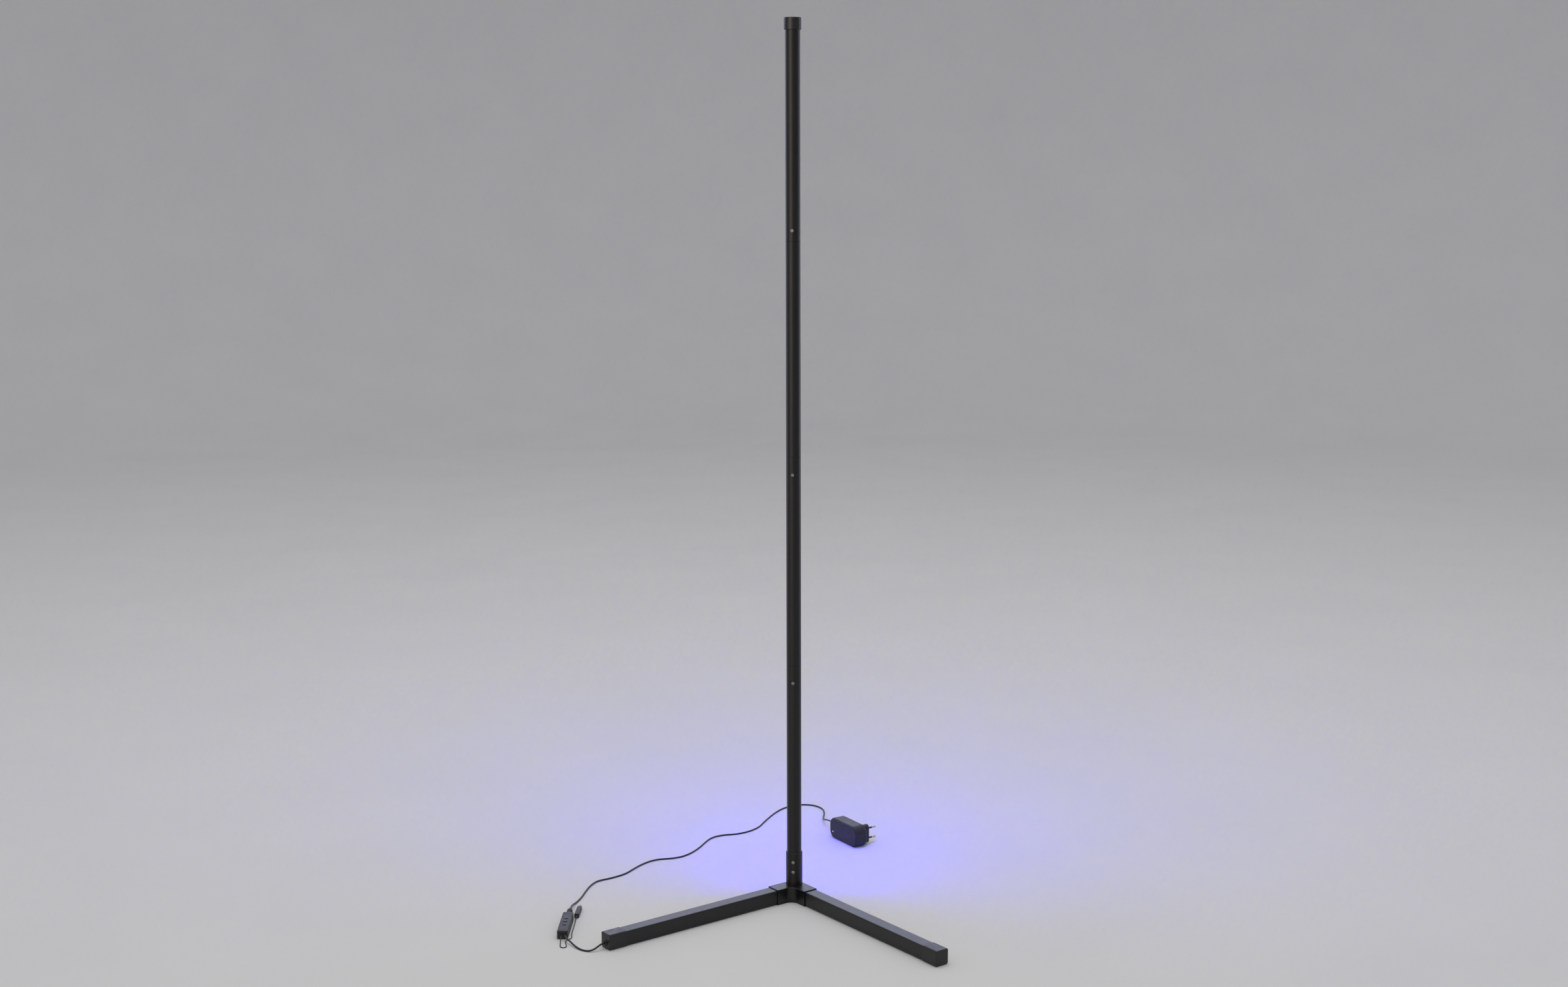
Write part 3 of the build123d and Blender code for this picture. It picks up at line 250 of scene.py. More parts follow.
@dataclass(frozen=True)
class MouldedPlastic(Finish):
    """Moulded black plastic from a spark-eroded tool: a fine matt grain, smoother where it is handled."""

    rubbed_tint: str = "#1f1f21"
    grain_mm: float = 0.7
    grain_depth_mm: float = 0.07
    grain_relief: float = 0.7
    rubbed_mm: float = 14.0
    rubbed_share: float = 0.5
    smoother: float = 0.06
    rougher: float = 0.04
    ior: float = 1.53

    def shade(self, tree: bpy.types.NodeTree) -> bpy.types.Node:
        """Grain in relief, with rubbed patches that are lighter and glossier.

        Args:
            tree: the material's node tree.

        Returns:
            The shader node.
        """
        place = add_node(tree, "ShaderNodeTexCoord").outputs["Object"]
        # Spark erosion leaves pits of about 0.1 mm; they are drawn coarser so that they show
        grain = add_node(tree, "ShaderNodeTexNoise", inputs={
            "Vector": place, "Scale": per_mm(self.grain_mm), "Detail": 3.0, "Roughness": 0.7})
        rubbed = add_node(tree, "ShaderNodeTexNoise", inputs={
            "Vector": place, "Scale": per_mm(self.rubbed_mm), "Detail": 5.0, "Roughness": 0.6})
        share = add_node(tree, "ShaderNodeMapRange", inputs={
            "Value": rubbed.outputs["Fac"], "From Min": 0.45, "From Max": 0.75,
            "To Min": 0.0, "To Max": self.rubbed_share})
        colour = add_node(tree, "ShaderNodeMix", {"data_type": "RGBA"}, {
            0: share.outputs["Result"], 6: linear(self.tint), 7: linear(self.rubbed_tint)})
        gloss = add_node(tree, "ShaderNodeMapRange", inputs={
            "Value": rubbed.outputs["Fac"], "From Min": 0.4, "From Max": 0.75,
            "To Min": self.roughness + self.rougher, "To Max": self.roughness - self.smoother})
        relief = add_node(tree, "ShaderNodeBump", inputs={
            "Height": grain.outputs["Fac"], "Strength": self.grain_relief,
            "Distance": metres(self.grain_depth_mm)})
        return add_node(tree, "ShaderNodeBsdfPrincipled", inputs={
            "Base Color": colour.outputs[2], "Roughness": gloss.outputs["Result"],
            "Normal": relief.outputs["Normal"], "IOR": self.ior})


@dataclass(frozen=True)
class SoftVinyl(Finish):
    """Extruded or moulded soft PVC and rubber: even black with a waxy sheen and faint scuffs."""

    scuff_tint: str = "#242326"
    scuff_mm: float = 5.0
    scuff_share: float = 0.6
    skin_mm: float = 0.6
    skin_depth_mm: float = 0.03
    skin_relief: float = 0.4
    smoother: float = 0.05
    rougher: float = 0.10
    ior: float = 1.52
    sheen: float = 0.05

    def shade(self, tree: bpy.types.NodeTree) -> bpy.types.Node:
        """Scuffs in colour and gloss over a slightly uneven skin.

        Args:
            tree: the material's node tree.

        Returns:
            The shader node.
        """
        place = add_node(tree, "ShaderNodeTexCoord").outputs["Object"]
        scuff = add_node(tree, "ShaderNodeTexNoise", inputs={
            "Vector": place, "Scale": per_mm(self.scuff_mm), "Detail": 5.0, "Roughness": 0.7})
        skin = add_node(tree, "ShaderNodeTexNoise", inputs={
            "Vector": place, "Scale": per_mm(self.skin_mm), "Detail": 2.0, "Roughness": 0.5})
        share = add_node(tree, "ShaderNodeMapRange", inputs={
            "Value": scuff.outputs["Fac"], "From Min": 0.5, "From Max": 0.8,
            "To Min": 0.0, "To Max": self.scuff_share})
        colour = add_node(tree, "ShaderNodeMix", {"data_type": "RGBA"}, {
            0: share.outputs["Result"], 6: linear(self.tint), 7: linear(self.scuff_tint)})
        gloss = add_node(tree, "ShaderNodeMapRange", inputs={
            "Value": scuff.outputs["Fac"], "From Min": 0.3, "From Max": 0.7,
            "To Min": self.roughness - self.smoother, "To Max": self.roughness + self.rougher})
        relief = add_node(tree, "ShaderNodeBump", inputs={
            "Height": skin.outputs["Fac"], "Strength": self.skin_relief,
            "Distance": metres(self.skin_depth_mm)})
        return add_node(tree, "ShaderNodeBsdfPrincipled", inputs={
            "Base Color": colour.outputs[2], "Roughness": gloss.outputs["Result"],
            "Normal": relief.outputs["Normal"], "IOR": self.ior, "Sheen Weight": self.sheen})


@dataclass(frozen=True)
class PlainMetal(Finish):
    """Bare, plated or blackened metal: fine tool marks and an uneven gloss."""

    mark_tint: str = "#8a8a8a"
    mark_mm: float = 0.5
    mark_run_mm: float = 6.0
    mark_share: float = 0.6
    smoother: float = 0.06
    rougher: float = 0.08

    def shade(self, tree: bpy.types.NodeTree) -> bpy.types.Node:
        """Tool marks that change colour and gloss a little.

        Args:
            tree: the material's node tree.

        Returns:
            The shader node.
        """
        place = add_node(tree, "ShaderNodeTexCoord").outputs["Object"]
        drawn = add_node(tree, "ShaderNodeMapping", inputs={
            "Vector": place,
            "Scale": (per_mm(self.mark_mm), per_mm(self.mark_run_mm), per_mm(self.mark_mm))})
        marks = add_node(tree, "ShaderNodeTexNoise", inputs={
            "Vector": drawn.outputs[0], "Scale": 1.0, "Detail": 4.0, "Roughness": 0.6})
        share = add_node(tree, "ShaderNodeMapRange", inputs={
            "Value": marks.outputs["Fac"], "From Min": 0.4, "From Max": 0.8,
            "To Min": 0.0, "To Max": self.mark_share})
        colour = add_node(tree, "ShaderNodeMix", {"data_type": "RGBA"}, {
            0: share.outputs["Result"], 6: linear(self.tint), 7: linear(self.mark_tint)})
        gloss = add_node(tree, "ShaderNodeMapRange", inputs={
            "Value": marks.outputs["Fac"], "From Min": 0.3, "From Max": 0.7,
            "To Min": self.roughness - self.smoother, "To Max": self.roughness + self.rougher})
        return add_node(tree, "ShaderNodeBsdfPrincipled", inputs={
            "Base Color": colour.outputs[2], "Roughness": gloss.outputs["Result"], "Metallic": 1.0})


@dataclass(frozen=True)
class OpalAcrylic(Finish):
    """Milky acrylic cover with the light on: blue below, violet above, a little brighter over each package."""

    low_glow: str = "#0404ff"
    high_glow: str = "#0d01ff"
    glow: float = 120.0
    spot_share: float = 0.12
    first_package_mm: float = 88.0
    package_pitch_mm: float = 30.0
    lit_from_mm: float = 66.0
    lit_to_mm: float = 1488.0
    spill_mm: float = 10.0
    fade_mm: float = 20.0
    end_share: float = 0.05
    violet_from_mm: float = 350.0
    haze_mm: float = 3.0
    smoother: float = 0.04
    rougher: float = 0.06
    ior: float = 1.49

    def shade(self, tree: bpy.types.NodeTree) -> bpy.types.Node:
        """Glow that follows the packages behind the cover and dies away at its ends.

        Args:
            tree: the material's node tree.

        Returns:
            The shader node.
        """
        place = add_node(tree, "ShaderNodeTexCoord").outputs["Object"]
        height = add_node(tree, "ShaderNodeSeparateXYZ", inputs={"Vector": place}).outputs["Z"]
        from_first = add_node(tree, "ShaderNodeMath", {"operation": "SUBTRACT"}, {
            0: height, 1: metres(self.first_package_mm)})
        half_pitch = metres(self.package_pitch_mm / 2)
        nearest = add_node(tree, "ShaderNodeMath", {"operation": "PINGPONG"}, {
            0: from_first.outputs[0], 1: half_pitch})
        spots = add_node(tree, "ShaderNodeMapRange", {"interpolation_type": "SMOOTHSTEP"}, {
            "Value": nearest.outputs[0], "From Min": 0.0, "From Max": half_pitch,
            "To Min": self.glow * (1 + self.spot_share), "To Max": self.glow * (1 - self.spot_share)})
        low_end = add_node(tree, "ShaderNodeMapRange", {"interpolation_type": "SMOOTHSTEP"}, {
            "Value": height, "From Min": metres(self.lit_from_mm - self.spill_mm),
            "From Max": metres(self.lit_from_mm + self.fade_mm), "To Min": self.end_share, "To Max": 1.0})
        high_end = add_node(tree, "ShaderNodeMapRange", {"interpolation_type": "SMOOTHSTEP"}, {
            "Value": height, "From Min": metres(self.lit_to_mm - self.fade_mm),
            "From Max": metres(self.lit_to_mm + self.spill_mm), "To Min": 1.0, "To Max": self.end_share})
        ends = add_node(tree, "ShaderNodeMath", {"operation": "MULTIPLY"}, {
            0: low_end.outputs["Result"], 1: high_end.outputs["Result"]})
        strength = add_node(tree, "ShaderNodeMath", {"operation": "MULTIPLY"}, {
            0: spots.outputs["Result"], 1: ends.outputs[0]})
        rise = add_node(tree, "ShaderNodeMapRange", {"interpolation_type": "SMOOTHSTEP"}, {
            "Value": height, "From Min": metres(self.violet_from_mm), "From Max": metres(self.lit_to_mm),
            "To Min": 0.0, "To Max": 1.0})
        glow = add_node(tree, "ShaderNodeMix", {"data_type": "RGBA"}, {
            0: rise.outputs["Result"], 6: linear(self.low_glow), 7: linear(self.high_glow)})
        haze = add_node(tree, "ShaderNodeTexNoise", inputs={
            "Vector": place, "Scale": per_mm(self.haze_mm), "Detail": 3.0, "Roughness": 0.6})
        gloss = add_node(tree, "ShaderNodeMapRange", inputs={
            "Value": haze.outputs["Fac"], "From Min": 0.3, "From Max": 0.7,
            "To Min": self.roughness - self.smoother, "To Max": self.roughness + self.rougher})
        return add_node(tree, "ShaderNodeBsdfPrincipled", inputs={
            "Base Color": linear(self.tint), "Roughness": gloss.outputs["Result"], "IOR": self.ior,
            "Emission Color": glow.outputs[2], "Emission Strength": strength.outputs[0]})


@dataclass(frozen=True)
class ClearLens(Finish):
    """Small moulded window or lamp lens: smooth, deep in colour, with a faint flow pattern."""

    flow_tint: str = "#202020"
    flow_mm: float = 1.5
    glow: float = 0.0
    ior: float = 1.58
    coat: float = 0.6
    coat_roughness: float = 0.05

    def shade(self, tree: bpy.types.NodeTree) -> bpy.types.Node:
        """Flow marks in colour, and a glow of its own where it is lit.

        Args:
            tree: the material's node tree.

        Returns:
            The shader node.
        """
        place = add_node(tree, "ShaderNodeTexCoord").outputs["Object"]
        flow = add_node(tree, "ShaderNodeTexNoise", inputs={
            "Vector": place, "Scale": per_mm(self.flow_mm), "Detail": 2.0, "Roughness": 0.5})
        colour = add_node(tree, "ShaderNodeMix", {"data_type": "RGBA"}, {
            0: flow.outputs["Fac"], 6: linear(self.tint), 7: linear(self.flow_tint)})
        return add_node(tree, "ShaderNodeBsdfPrincipled", inputs={
            "Base Color": colour.outputs[2], "Roughness": self.roughness, "IOR": self.ior,
            "Coat Weight": self.coat, "Coat Roughness": self.coat_roughness,
            "Emission Color": linear(self.tint), "Emission Strength": self.glow})


@dataclass(frozen=True)
class PrintedBoard(Finish):
    """Glass-fibre board, tape or component body: solder resist with the weave showing faintly."""

    weave_tint: str = "#1d5a34"
    weave_mm: float = 1.0
    weave_depth_mm: float = 0.02
    weave_relief: float = 0.1
    ior: float = 1.55

    def shade(self, tree: bpy.types.NodeTree) -> bpy.types.Node:
        """Weave of the board's cloth in colour and relief.

        Args:
            tree: the material's node tree.

        Returns:
            The shader node.
        """
        place = add_node(tree, "ShaderNodeTexCoord").outputs["Object"]
        weave = add_node(tree, "ShaderNodeTexChecker", inputs={
            "Vector": place, "Scale": per_mm(2 * self.weave_mm), "Color1": linear(self.tint),
            "Color2": linear(self.weave_tint)})
        relief = add_node(tree, "ShaderNodeBump", inputs={
            "Height": weave.outputs["Fac"], "Strength": self.weave_relief,
            "Distance": metres(self.weave_depth_mm)})
        return add_node(tree, "ShaderNodeBsdfPrincipled", inputs={
            "Base Color": weave.outputs["Color"], "Roughness": self.roughness,
            "Normal": relief.outputs["Normal"], "IOR": self.ior})


@dataclass(frozen=True)
class StudioPaint(Finish):
    """Pale matt floor paint with a very faint roller mottle."""

    shade_tint: str = "#d9d9da"
    mottle_mm: float = 350.0
    specular: float = 0.15

    def shade(self, tree: bpy.types.NodeTree) -> bpy.types.Node:
        """Mottle in colour only.

        Args:
            tree: the material's node tree.

        Returns:
            The shader node.
        """
        place = add_node(tree, "ShaderNodeTexCoord").outputs["Object"]
        mottle = add_node(tree, "ShaderNodeTexNoise", inputs={
            "Vector": place, "Scale": per_mm(self.mottle_mm), "Detail": 5.0, "Roughness": 0.5})
        colour = add_node(tree, "ShaderNodeMix", {"data_type": "RGBA"}, {
            0: mottle.outputs["Fac"], 6: linear(self.tint), 7: linear(self.shade_tint)})
        return add_node(tree, "ShaderNodeBsdfPrincipled", inputs={
            "Base Color": colour.outputs[2], "Roughness": self.roughness, "Specular IOR Level": self.specular})


# Dyed oxide on a drawn bar: near black, with a long soft highlight and faint lines along it
COLUMN_BLACK = AnodisedAluminium("black anodised extrusion", "#0b0b0d", 0.42)
# Baked powder on tube: a level satin skin that lights up on top and keeps a little dust there
LEG_COAT = PowderCoat("black powder-coated steel tube", "#0b0b0d", 0.32)
# Baked powder on a casting: the same satin with a coarser peel
HUB_COAT = PowderCoat("black coated corner casting", "#0b0b0d", 0.32, peel_mm=1.8, dust_share=0.05)
# Moulded caps: a fine grain, a shade duller than the metal beside them
CAP_ABS = MouldedPlastic("black ABS end caps", "#0c0c0e", 0.36, grain_mm=0.9)
# Controller's case: matt grain, a little shinier where fingers rub it
BOX_ABS = MouldedPlastic("black ABS controller case", "#0f0f11", 0.48)
# Supply's case: slightly glossier, so that its rounded edges show
SUPPLY_ABS = MouldedPlastic("black polycarbonate supply case", "#0e0e10", 0.44, grain_mm=0.8)
# Key tops: a shade lighter than the case, so that they stand out from it
KEY_ABS = MouldedPlastic("black key tops", "#1b1b1e", 0.4, grain_mm=0.5, rubbed_tint="#333336")
# Extruded jacket: even black with a thin bright line along the cord
CORD_PVC = SoftVinyl("black PVC cord jacket", "#0e0e10", 0.45)
# Moulded over the cord: like the jacket, a touch lighter
PLUG_PVC = SoftVinyl("black moulded PVC plug", "#101012", 0.46)
# Rubber bush: dull and dark, so that it reads as the rim of a hole
BUSH_RUBBER = SoftVinyl("black rubber bush", "#0e0e0e", 0.6)
# Foam rubber: flat dark grey without a highlight
PAD_RUBBER = SoftVinyl("black foam rubber pads", "#1c1c1c", 0.8, scuff_mm=2.0, skin_mm=0.4)
# Plated steel: small bright dots on the black column
SCREW_STEEL = PlainMetal("nickel-plated steel screws", "#8e8e92", 0.24, mark_tint="#9c9ca0", mark_mm=0.25)
# Plated brass: warm silver with sharp reflections
PIN_NICKEL = PlainMetal("nickel-plated brass pins", "#d6d1c4", 0.2, mark_tint="#b9b3a4")
# Sawn bar: plain silvery grey with marks along it
MILL_ALUMINIUM = PlainMetal("mill-finish aluminium bar", "#c2c2c0", 0.4, mark_tint="#a5a5a3", mark_run_mm=40.0)
# Milky sheet with light behind it: an even glow, a trace brighter at each package
OPAL_COVER = OpalAcrylic("opal acrylic cover", "#7a74b8", 0.4)
# Infra-red window: nearly black with a hint of red and a sharp reflection
EYE_LENS = ClearLens("dark infra-red window", "#150a0f", 0.12, flow_tint="#221016")
# Small lens: a pale green point, faintly lit
INDICATOR_LENS = ClearLens("pale indicator lens", "#b8d8c4", 0.2, flow_tint="#a2c9b1", glow=0.4)
# Board under solder resist: glossy green with its cloth just visible
GREEN_BOARD = PrintedBoard("green circuit board", "#14532d", 0.35)
# Coated flexible board: off-white and matt
WHITE_TAPE = PrintedBoard("white light tape", "#e6e3da", 0.5, weave_tint="#dcd8ce")
# Switch and jack bodies: plain dull black
BLACK_BODY = PrintedBoard("black component bodies", "#1a1a1a", 0.5, weave_tint="#202020", weave_mm=0.5)
# Wound core under tape: dull yellow
YELLOW_COIL = PrintedBoard("taped transformer", "#c79a1f", 0.45, weave_tint="#b58b18", weave_mm=2.0)
# Packages under their phosphor: small glossy yellow squares
LED_PACKAGE = ClearLens("light packages", "#efe3a2", 0.25, flow_tint="#e6d67f")
# Rolled paint: even and pale, with no mirror image of the lamp
STUDIO_WHITE = StudioPaint("pale studio floor", "#e0dfde", 0.7)


class FarEnd(Enum):
    """What a cord ends in."""

    FITTING = "fitting"
    PLUG = "plug"


class Bend(Enum):
    """How readily a cord bends."""

    LIMP = "limp"
    MEDIUM = "medium"


@dataclass
class Cord:
    """A free round cord on the floor, along listed places."""

    name: str
    diameter: float
    length: float
    far_end: FarEnd
    bend: Bend
    pieces: tuple[str, ...]
    route: tuple[Point, ...]
    steps_along: int = 10
    steps_round: int = 4

    def build(self) -> bpy.types.Object:
        """Lay the cord as one smooth spline with the route's places as its control points.

        Returns:
            The cord's curve object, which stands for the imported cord.
        """
        curve = bpy.data.curves.new(self.name + "_laid", "CURVE")
        curve.dimensions = "3D"
        curve.resolution_u = self.steps_along
        curve.bevel_depth = self.diameter / 2
        curve.bevel_resolution = self.steps_round
        curve.use_fill_caps = True
        spline = curve.splines.new("NURBS")
        spline.points.add(len(self.route) - 1)
        for point, place in zip(spline.points, self.route):
            point.co = (*place, 1.0)
        spline.order_u = 3
        spline.use_endpoint_u = True
        curve.materials.append(material_of(CORD_PVC))
        cord = bpy.data.objects.new(self.name + "_laid", curve)
        bpy.context.scene.collection.objects.link(cord)
        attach(cord, ROOT_BODY)
        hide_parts(self.name)
        LOG.info("%s: %d places", cord.name, len(self.route))
        return cord


@dataclass
class Foot:
    """The V foot: corner hub, two square legs with their end caps, pads and screws."""

    legs: tuple[str, ...] = ("left_leg", "right_leg")
    caps: tuple[str, ...] = ("left_end_cap", "right_end_cap")

    def dress(self) -> None:
        """Give the foot's pieces their finishes."""
        dress("base_hub", HUB_COAT)
        for leg in self.legs:
            dress(leg, LEG_COAT)
        for cap in self.caps:
            dress(cap, CAP_ABS)
        dress("cord_grommet", BUSH_RUBBER)
        dress("foot_pads", PAD_RUBBER)
        dress("leg_screws", SCREW_STEEL)


@dataclass
class Column:
    """The upright: four lengths of extrusion, their couplers, sleeve, cap and screws, and the light."""

    sections: int = 4

    def dress(self) -> None:
        """Give the column's pieces their finishes."""
        for number in range(1, self.sections + 1):
            dress(f"column_section_{number}", COLUMN_BLACK)
        for number in range(1, self.sections):
            dress(f"section_coupler_{number}", MILL_ALUMINIUM)
        dress("column_sleeve", COLUMN_BLACK)
        dress("top_cap", CAP_ABS)
        dress("coupler_screws", SCREW_STEEL)
        dress("sleeve_screws", SCREW_STEEL)
        dress("led_tape", WHITE_TAPE)
        dress("led_chips", LED_PACKAGE)
        dress("diffuser", OPAL_COVER)
        dress("column_lead", CORD_PVC)


@dataclass
class Controller:
    """The in-line controller with its keys, the receiver on its thin lead, and the barrel plug."""

    keys: tuple[str, ...] = ("power_key", "colour_key", "mode_key")

    def dress(self) -> None:
        """Give the controller's pieces their finishes."""
        for shell in ("controller_base", "controller_cover", "eye_housing"):
            dress(shell, BOX_ABS)
        for key in self.keys:
            dress(key, KEY_ABS)
        dress("controller_board", GREEN_BOARD)
        dress("key_switches", BLACK_BODY)
        dress("dc_jack", BLACK_BODY)
        dress("dc_plug", PLUG_PVC)
        dress("eye_lens", EYE_LENS)

    def cords(self) -> list[bpy.types.Object]:
        """Lay the cord from the lamp and the receiver's lead.

        Returns:
            The two cords.
        """
        lamp_cord = Cord(
            "lamp_cord", 0.003, 0.107, FarEnd.FITTING, Bend.MEDIUM,
            ("controller_base", "controller_cover", "controller_board", "key_switches", "dc_jack",
             *self.keys), (
                (-0.27457, -0.27457, 0.0105), (-0.27881, -0.27881, 0.0105), (-0.2834, -0.2842, 0.0079),
                (-0.2890, -0.2886, 0.0042), (-0.2965, -0.2909, 0.0019), (-0.3055, -0.2897, 0.0015),
                (-0.3150, -0.2840, 0.0016), (-0.3247, -0.2754, 0.0028), (-0.3343, -0.2650, 0.0052),
                (-0.34797, -0.25091, 0.0082), (-0.34932, -0.24050, 0.0082)))
        eye_lead = Cord(
            "eye_lead", 0.0016, 0.176, FarEnd.FITTING, Bend.LIMP, ("eye_housing", "eye_lens"), (
                (-0.35527, -0.24127, 0.0082), (-0.35430, -0.24871, 0.0082), (-0.3536, -0.2546, 0.0056),
                (-0.3524, -0.2622, 0.0024), (-0.3509, -0.2692, 0.0009), (-0.3496, -0.2750, 0.0008),
                (-0.3470, -0.2790, 0.0009), (-0.3429, -0.2806, 0.0008), (-0.3396, -0.2780, 0.0009),
                (-0.3392, -0.2736, 0.0008), (-0.3416, -0.2665, 0.0009), (-0.3444, -0.2596, 0.0008),
                (-0.3460, -0.2528, 0.0009), (-0.3449, -0.2472, 0.0008), (-0.3412, -0.2420, 0.0009),
                (-0.3396, -0.2352, 0.0008), (-0.3424, -0.2262, 0.0009), (-0.3447, -0.2140, 0.0008),
                (-0.3467, -0.1990, 0.0009), (-0.3486, -0.1840, 0.0008), (-0.3503, -0.1695, 0.0010),
                (-0.35203, -0.16142, 0.0040), (-0.35287, -0.15346, 0.0040)))
        return [lamp_cord.build(), eye_lead.build()]


@dataclass
class Supply:
    """The plug-in supply and its cord."""

    shells: tuple[str, ...] = ("adapter_front", "adapter_back")

    def dress(self) -> None:
        """Give the supply's pieces their finishes."""
        for shell in self.shells:
            dress(shell, SUPPLY_ABS)
        dress("plug_pins", PIN_NICKEL)
        dress("pin_sleeves", PLUG_PVC)
        dress("adapter_indicator", INDICATOR_LENS)
        dress("adapter_board", GREEN_BOARD)
        dress("adapter_transformer", YELLOW_COIL)
        dress("strain_relief", PLUG_PVC)

    def cord(self) -> bpy.types.Object:
        """Lay the cord from the barrel plug to the supply.

        Returns:
            The cord.
        """
        laid = Cord(
            "adapter_cord", 0.003, 0.968, FarEnd.PLUG, Bend.MEDIUM,
            ("dc_plug", "strain_relief", "plug_pins", "pin_sleeves", "adapter_indicator", "adapter_board",
             "adapter_transformer", *self.shells), (
                (-0.36941, -0.12463, 0.0082), (-0.37121, -0.11074, 0.0082), (-0.3727, -0.0920, 0.0036),
                (-0.3705, -0.0745, 0.0016), (-0.3680, -0.0500, 0.0015), (-0.3682, -0.0240, 0.0016),
                (-0.3672, 0.0050, 0.0015), (-0.3610, 0.0330, 0.0016), (-0.3405, 0.0490, 0.0015),
                (-0.3180, 0.0750, 0.0016), (-0.3090, 0.1050, 0.0015), (-0.2970, 0.1360, 0.0016),
                (-0.2790, 0.1600, 0.0015), (-0.2540, 0.1680, 0.0016), (-0.2340, 0.1800, 0.0015),
                (-0.2200, 0.2050, 0.0016), (-0.2110, 0.2360, 0.0015), (-0.2060, 0.2670, 0.0016),
                (-0.1990, 0.2960, 0.0015), (-0.1810, 0.3140, 0.0016), (-0.1550, 0.3220, 0.0015),
                (-0.1330, 0.3410, 0.0016), (-0.1180, 0.3690, 0.0015), (-0.1135, 0.4010, 0.0016),
                (-0.1070, 0.4330, 0.0015), (-0.0990, 0.4660, 0.0016), (-0.0860, 0.4980, 0.0015),
                (-0.0620, 0.5210, 0.0016), (-0.0310, 0.5230, 0.0015), (-0.0090, 0.5020, 0.0016),
                (-0.0020, 0.4710, 0.0015), (-0.0015, 0.4410, 0.0024), (0.0035, 0.4130, 0.0082),
                (0.0115, 0.3890, 0.0158), (0.02225, 0.36871, 0.0200), (0.02996, 0.35952, 0.0200)))
        return laid.build()


class Reach(Enum):
    """What a soft box lights."""

    ALL = "all"
    GLOSS = "gloss"


@dataclass(frozen=True)
class SoftBox:
    """One soft box of the studio, which the camera doesn't see."""

    name: str
    place: Point
    size: tuple[float, float]
    watts: float
    tint: str
    target: Point = (0, 0, 0.9)
    reach: Reach = Reach.GLOSS
    only_on: tuple[str, ...] = ()

    def hang(self, lamp_pieces: list[bpy.types.Object]) -> bpy.types.Object:
        """Hang the box so that it faces its target.

        Args:
            lamp_pieces: what a box for gloss lights, unless it names its own pieces.

        Returns:
            The light.
        """
        lamp = bpy.data.lights.new(self.name, "AREA")
        lamp.shape = "RECTANGLE"
        lamp.size, lamp.size_y = self.size
        lamp.energy = self.watts
        lamp.color = linear(self.tint)[:3]
        box = bpy.data.objects.new(self.name, lamp)
        bpy.context.scene.collection.objects.link(box)
        box.visible_camera = False
        box.location = self.place
        box.rotation_euler = (Vector(self.target) - Vector(self.place)).to_track_quat("-Z", "Y").to_euler()
        if self.reach is Reach.GLOSS:
            box.visible_diffuse = False
            receivers = bpy.data.collections.new(self.name + "_receivers")
            for piece in [NODES[node] for node in self.only_on] or lamp_pieces:
                receivers.objects.link(piece)
            box.light_linking.receiver_collection = receivers
        LOG.info("%s: %g W", self.name, self.watts)
        return box


FRONT_LEFT: Point = (-1.85, -3.8, 1.9)
FRONT_SIZE = (2.2, 2.8)

# The top box lights everything. The others show in the gloss of the lamp's pieces only, so the floor stays
# even. The column's front returns far less light than the tops of the legs, so it has a box to itself.
STUDIO_BOXES = (
    SoftBox("top_box", (0, 0.3, 4.8), (3.4, 3.4), 76, "#ffffff", target=(0, 0.3, 0), reach=Reach.ALL),
    SoftBox("front_box", FRONT_LEFT, FRONT_SIZE, 28, "#fff4ea"),
    SoftBox("back_box", (-0.5, 3.6, 1.45), (3.0, 1.6), 26, "#d6dcff"),
    SoftBox("rim_box_left", (-2.6, 1.5, 1.25), (1.0, 2.2), 16, "#d6dcff"),
    SoftBox("rim_box_right", (2.6, 1.7, 1.25), (1.0, 2.2), 16, "#d6dcff"),
    SoftBox("column_box", FRONT_LEFT, FRONT_SIZE, 72, "#ffdfbe", only_on=(
        "column_section_1", "column_section_2", "column_section_3", "column_section_4",
        "column_sleeve", "top_cap", "coupler_screws", "sleeve_screws")),
)


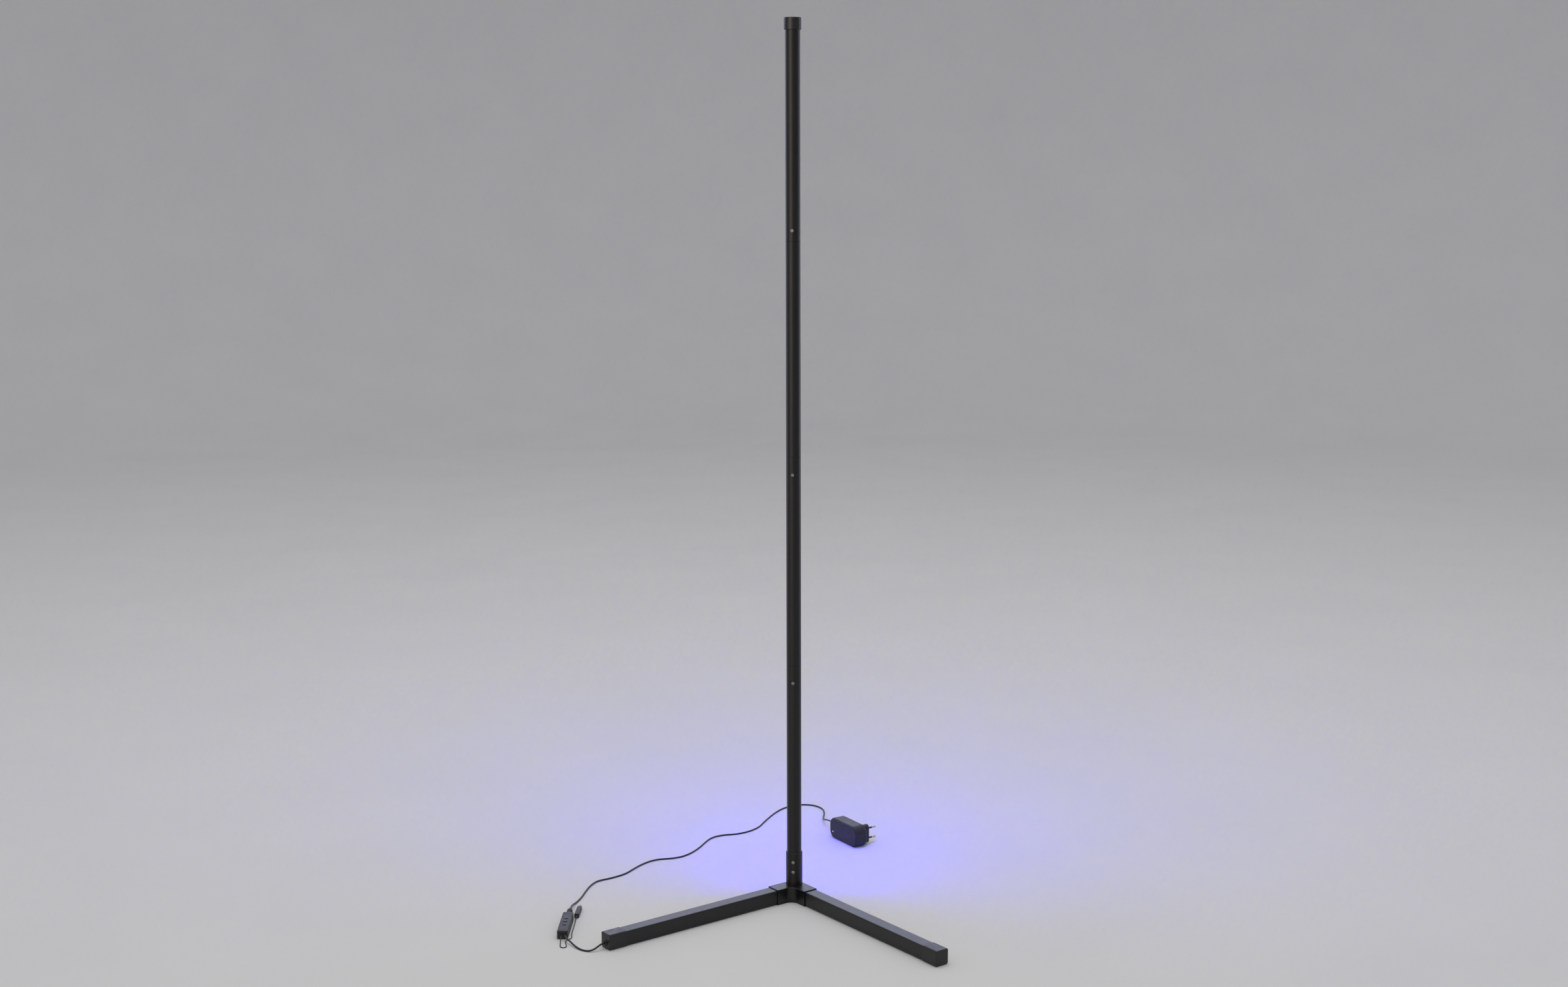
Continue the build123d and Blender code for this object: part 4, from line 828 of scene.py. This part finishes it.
@dataclass
class Studio:
    """Pale coved floor, soft lights and the camera."""

    boxes: tuple[SoftBox, ...] = STUDIO_BOXES
    air_tint: str = "#f2f2f4"
    air_strength: float = 0.56
    floor_name: str = "studio_floor"
    floor_radius: float = 6.5
    floor_sides: int = 128
    cove_radius: float = 2.5
    cove_steps: int = 10
    wall_height: float = 4.0
    smooth_deg: float = 30.0
    picture_width: int = 2408
    focal_px: float = 2997.97
    sensor_mm: float = 36.0
    far_limit: float = 60.0
    camera_place: Point = (0.4331, -3.2397, 1.2076)
    yaw: float = -0.1378
    pitch: float = -0.1499
    roll: float = -0.0028

    def floor(self) -> bpy.types.Object:
        """Make the floor: a flat disc whose rim is drawn up into a cove and a wall.

        Returns:
            The floor, which isn't part of the lamp.
        """
        bpy.ops.object.select_all(action="DESELECT")
        bpy.ops.mesh.primitive_circle_add(vertices=self.floor_sides, radius=self.floor_radius, fill_type="NGON")
        floor = bpy.context.object
        floor.name = self.floor_name
        bpy.ops.object.mode_set(mode="EDIT")
        bpy.ops.mesh.select_mode(type="EDGE")
        bpy.ops.mesh.select_all(action="DESELECT")
        bpy.ops.mesh.select_non_manifold()
        radius, height = self.floor_radius, 0.0
        for step in range(1, self.cove_steps + 1):
            turn = math.pi / 2 * step / self.cove_steps
            wider = self.floor_radius + self.cove_radius * math.sin(turn)
            higher = self.cove_radius * (1 - math.cos(turn))
            bpy.ops.mesh.extrude_region_move(TRANSFORM_OT_translate={"value": (0, 0, higher - height)})
            bpy.ops.transform.resize(value=(wider / radius, wider / radius, 1), center_override=(0, 0, 0))
            radius, height = wider, higher
        bpy.ops.mesh.extrude_region_move(TRANSFORM_OT_translate={"value": (0, 0, self.wall_height - height)})
        # The disc's face is carried up with its rim; it is taken off so that the light comes in from above
        bpy.ops.mesh.delete(type="ONLY_FACE")
        bpy.ops.mesh.select_all(action="SELECT")
        bpy.ops.mesh.normals_make_consistent(inside=True)
        bpy.ops.object.mode_set(mode="OBJECT")
        bpy.ops.object.shade_smooth_by_angle(angle=math.radians(self.smooth_deg))
        floor.data.materials.append(material_of(STUDIO_WHITE))
        return floor

    def lights(self) -> None:
        """Hang the soft boxes and set an even surround."""
        lamp = [piece for piece in bpy.context.scene.objects if piece.type in {"MESH", "CURVE"}]
        lamp.remove(bpy.data.objects[self.floor_name])
        for box in self.boxes:
            box.hang(lamp)
        world = bpy.data.worlds.new("studio_air")
        world.use_nodes = True
        air = world.node_tree.nodes["Background"]
        air.inputs["Color"].default_value = linear(self.air_tint)
        air.inputs["Strength"].default_value = self.air_strength
        bpy.context.scene.world = world

    def camera(self) -> bpy.types.Object:
        """Set the camera where the picture was taken from.

        Returns:
            The camera.
        """
        data = bpy.data.cameras.new("view")
        data.sensor_fit = "HORIZONTAL"
        data.sensor_width = self.sensor_mm
        data.lens = self.focal_px * data.sensor_width / self.picture_width
        data.clip_end = self.far_limit
        camera = bpy.data.objects.new("view", data)
        bpy.context.scene.collection.objects.link(camera)
        ahead = Vector((math.sin(self.yaw) * math.cos(self.pitch), math.cos(self.yaw) * math.cos(self.pitch),
                        math.sin(self.pitch)))
        right = Vector((math.cos(self.yaw), -math.sin(self.yaw), 0))
        up = right.cross(ahead)
        across = right * math.cos(self.roll) + up * math.sin(self.roll)
        over = up * math.cos(self.roll) - right * math.sin(self.roll)
        turn = Matrix((across, over, -ahead)).transposed()
        camera.matrix_world = Matrix.Translation(self.camera_place) @ turn.to_4x4()
        bpy.context.scene.camera = camera
        return camera

    def build(self) -> None:
        """Set up floor, lights and camera, with colours shown as they are."""
        self.floor()
        self.lights()
        self.camera()
        bpy.context.scene.view_settings.view_transform = "Standard"


def main() -> None:
    """Dress the lamp, lay its cords and set up the studio."""
    logging.basicConfig(level=logging.INFO, format="%(name)s %(message)s")
    controller = Controller()
    supply = Supply()
    for assembly in (Foot(), Column(), controller, supply):
        assembly.dress()
    controller.cords()
    supply.cord()
    Studio().build()


if __name__ == "__main__":
    main()
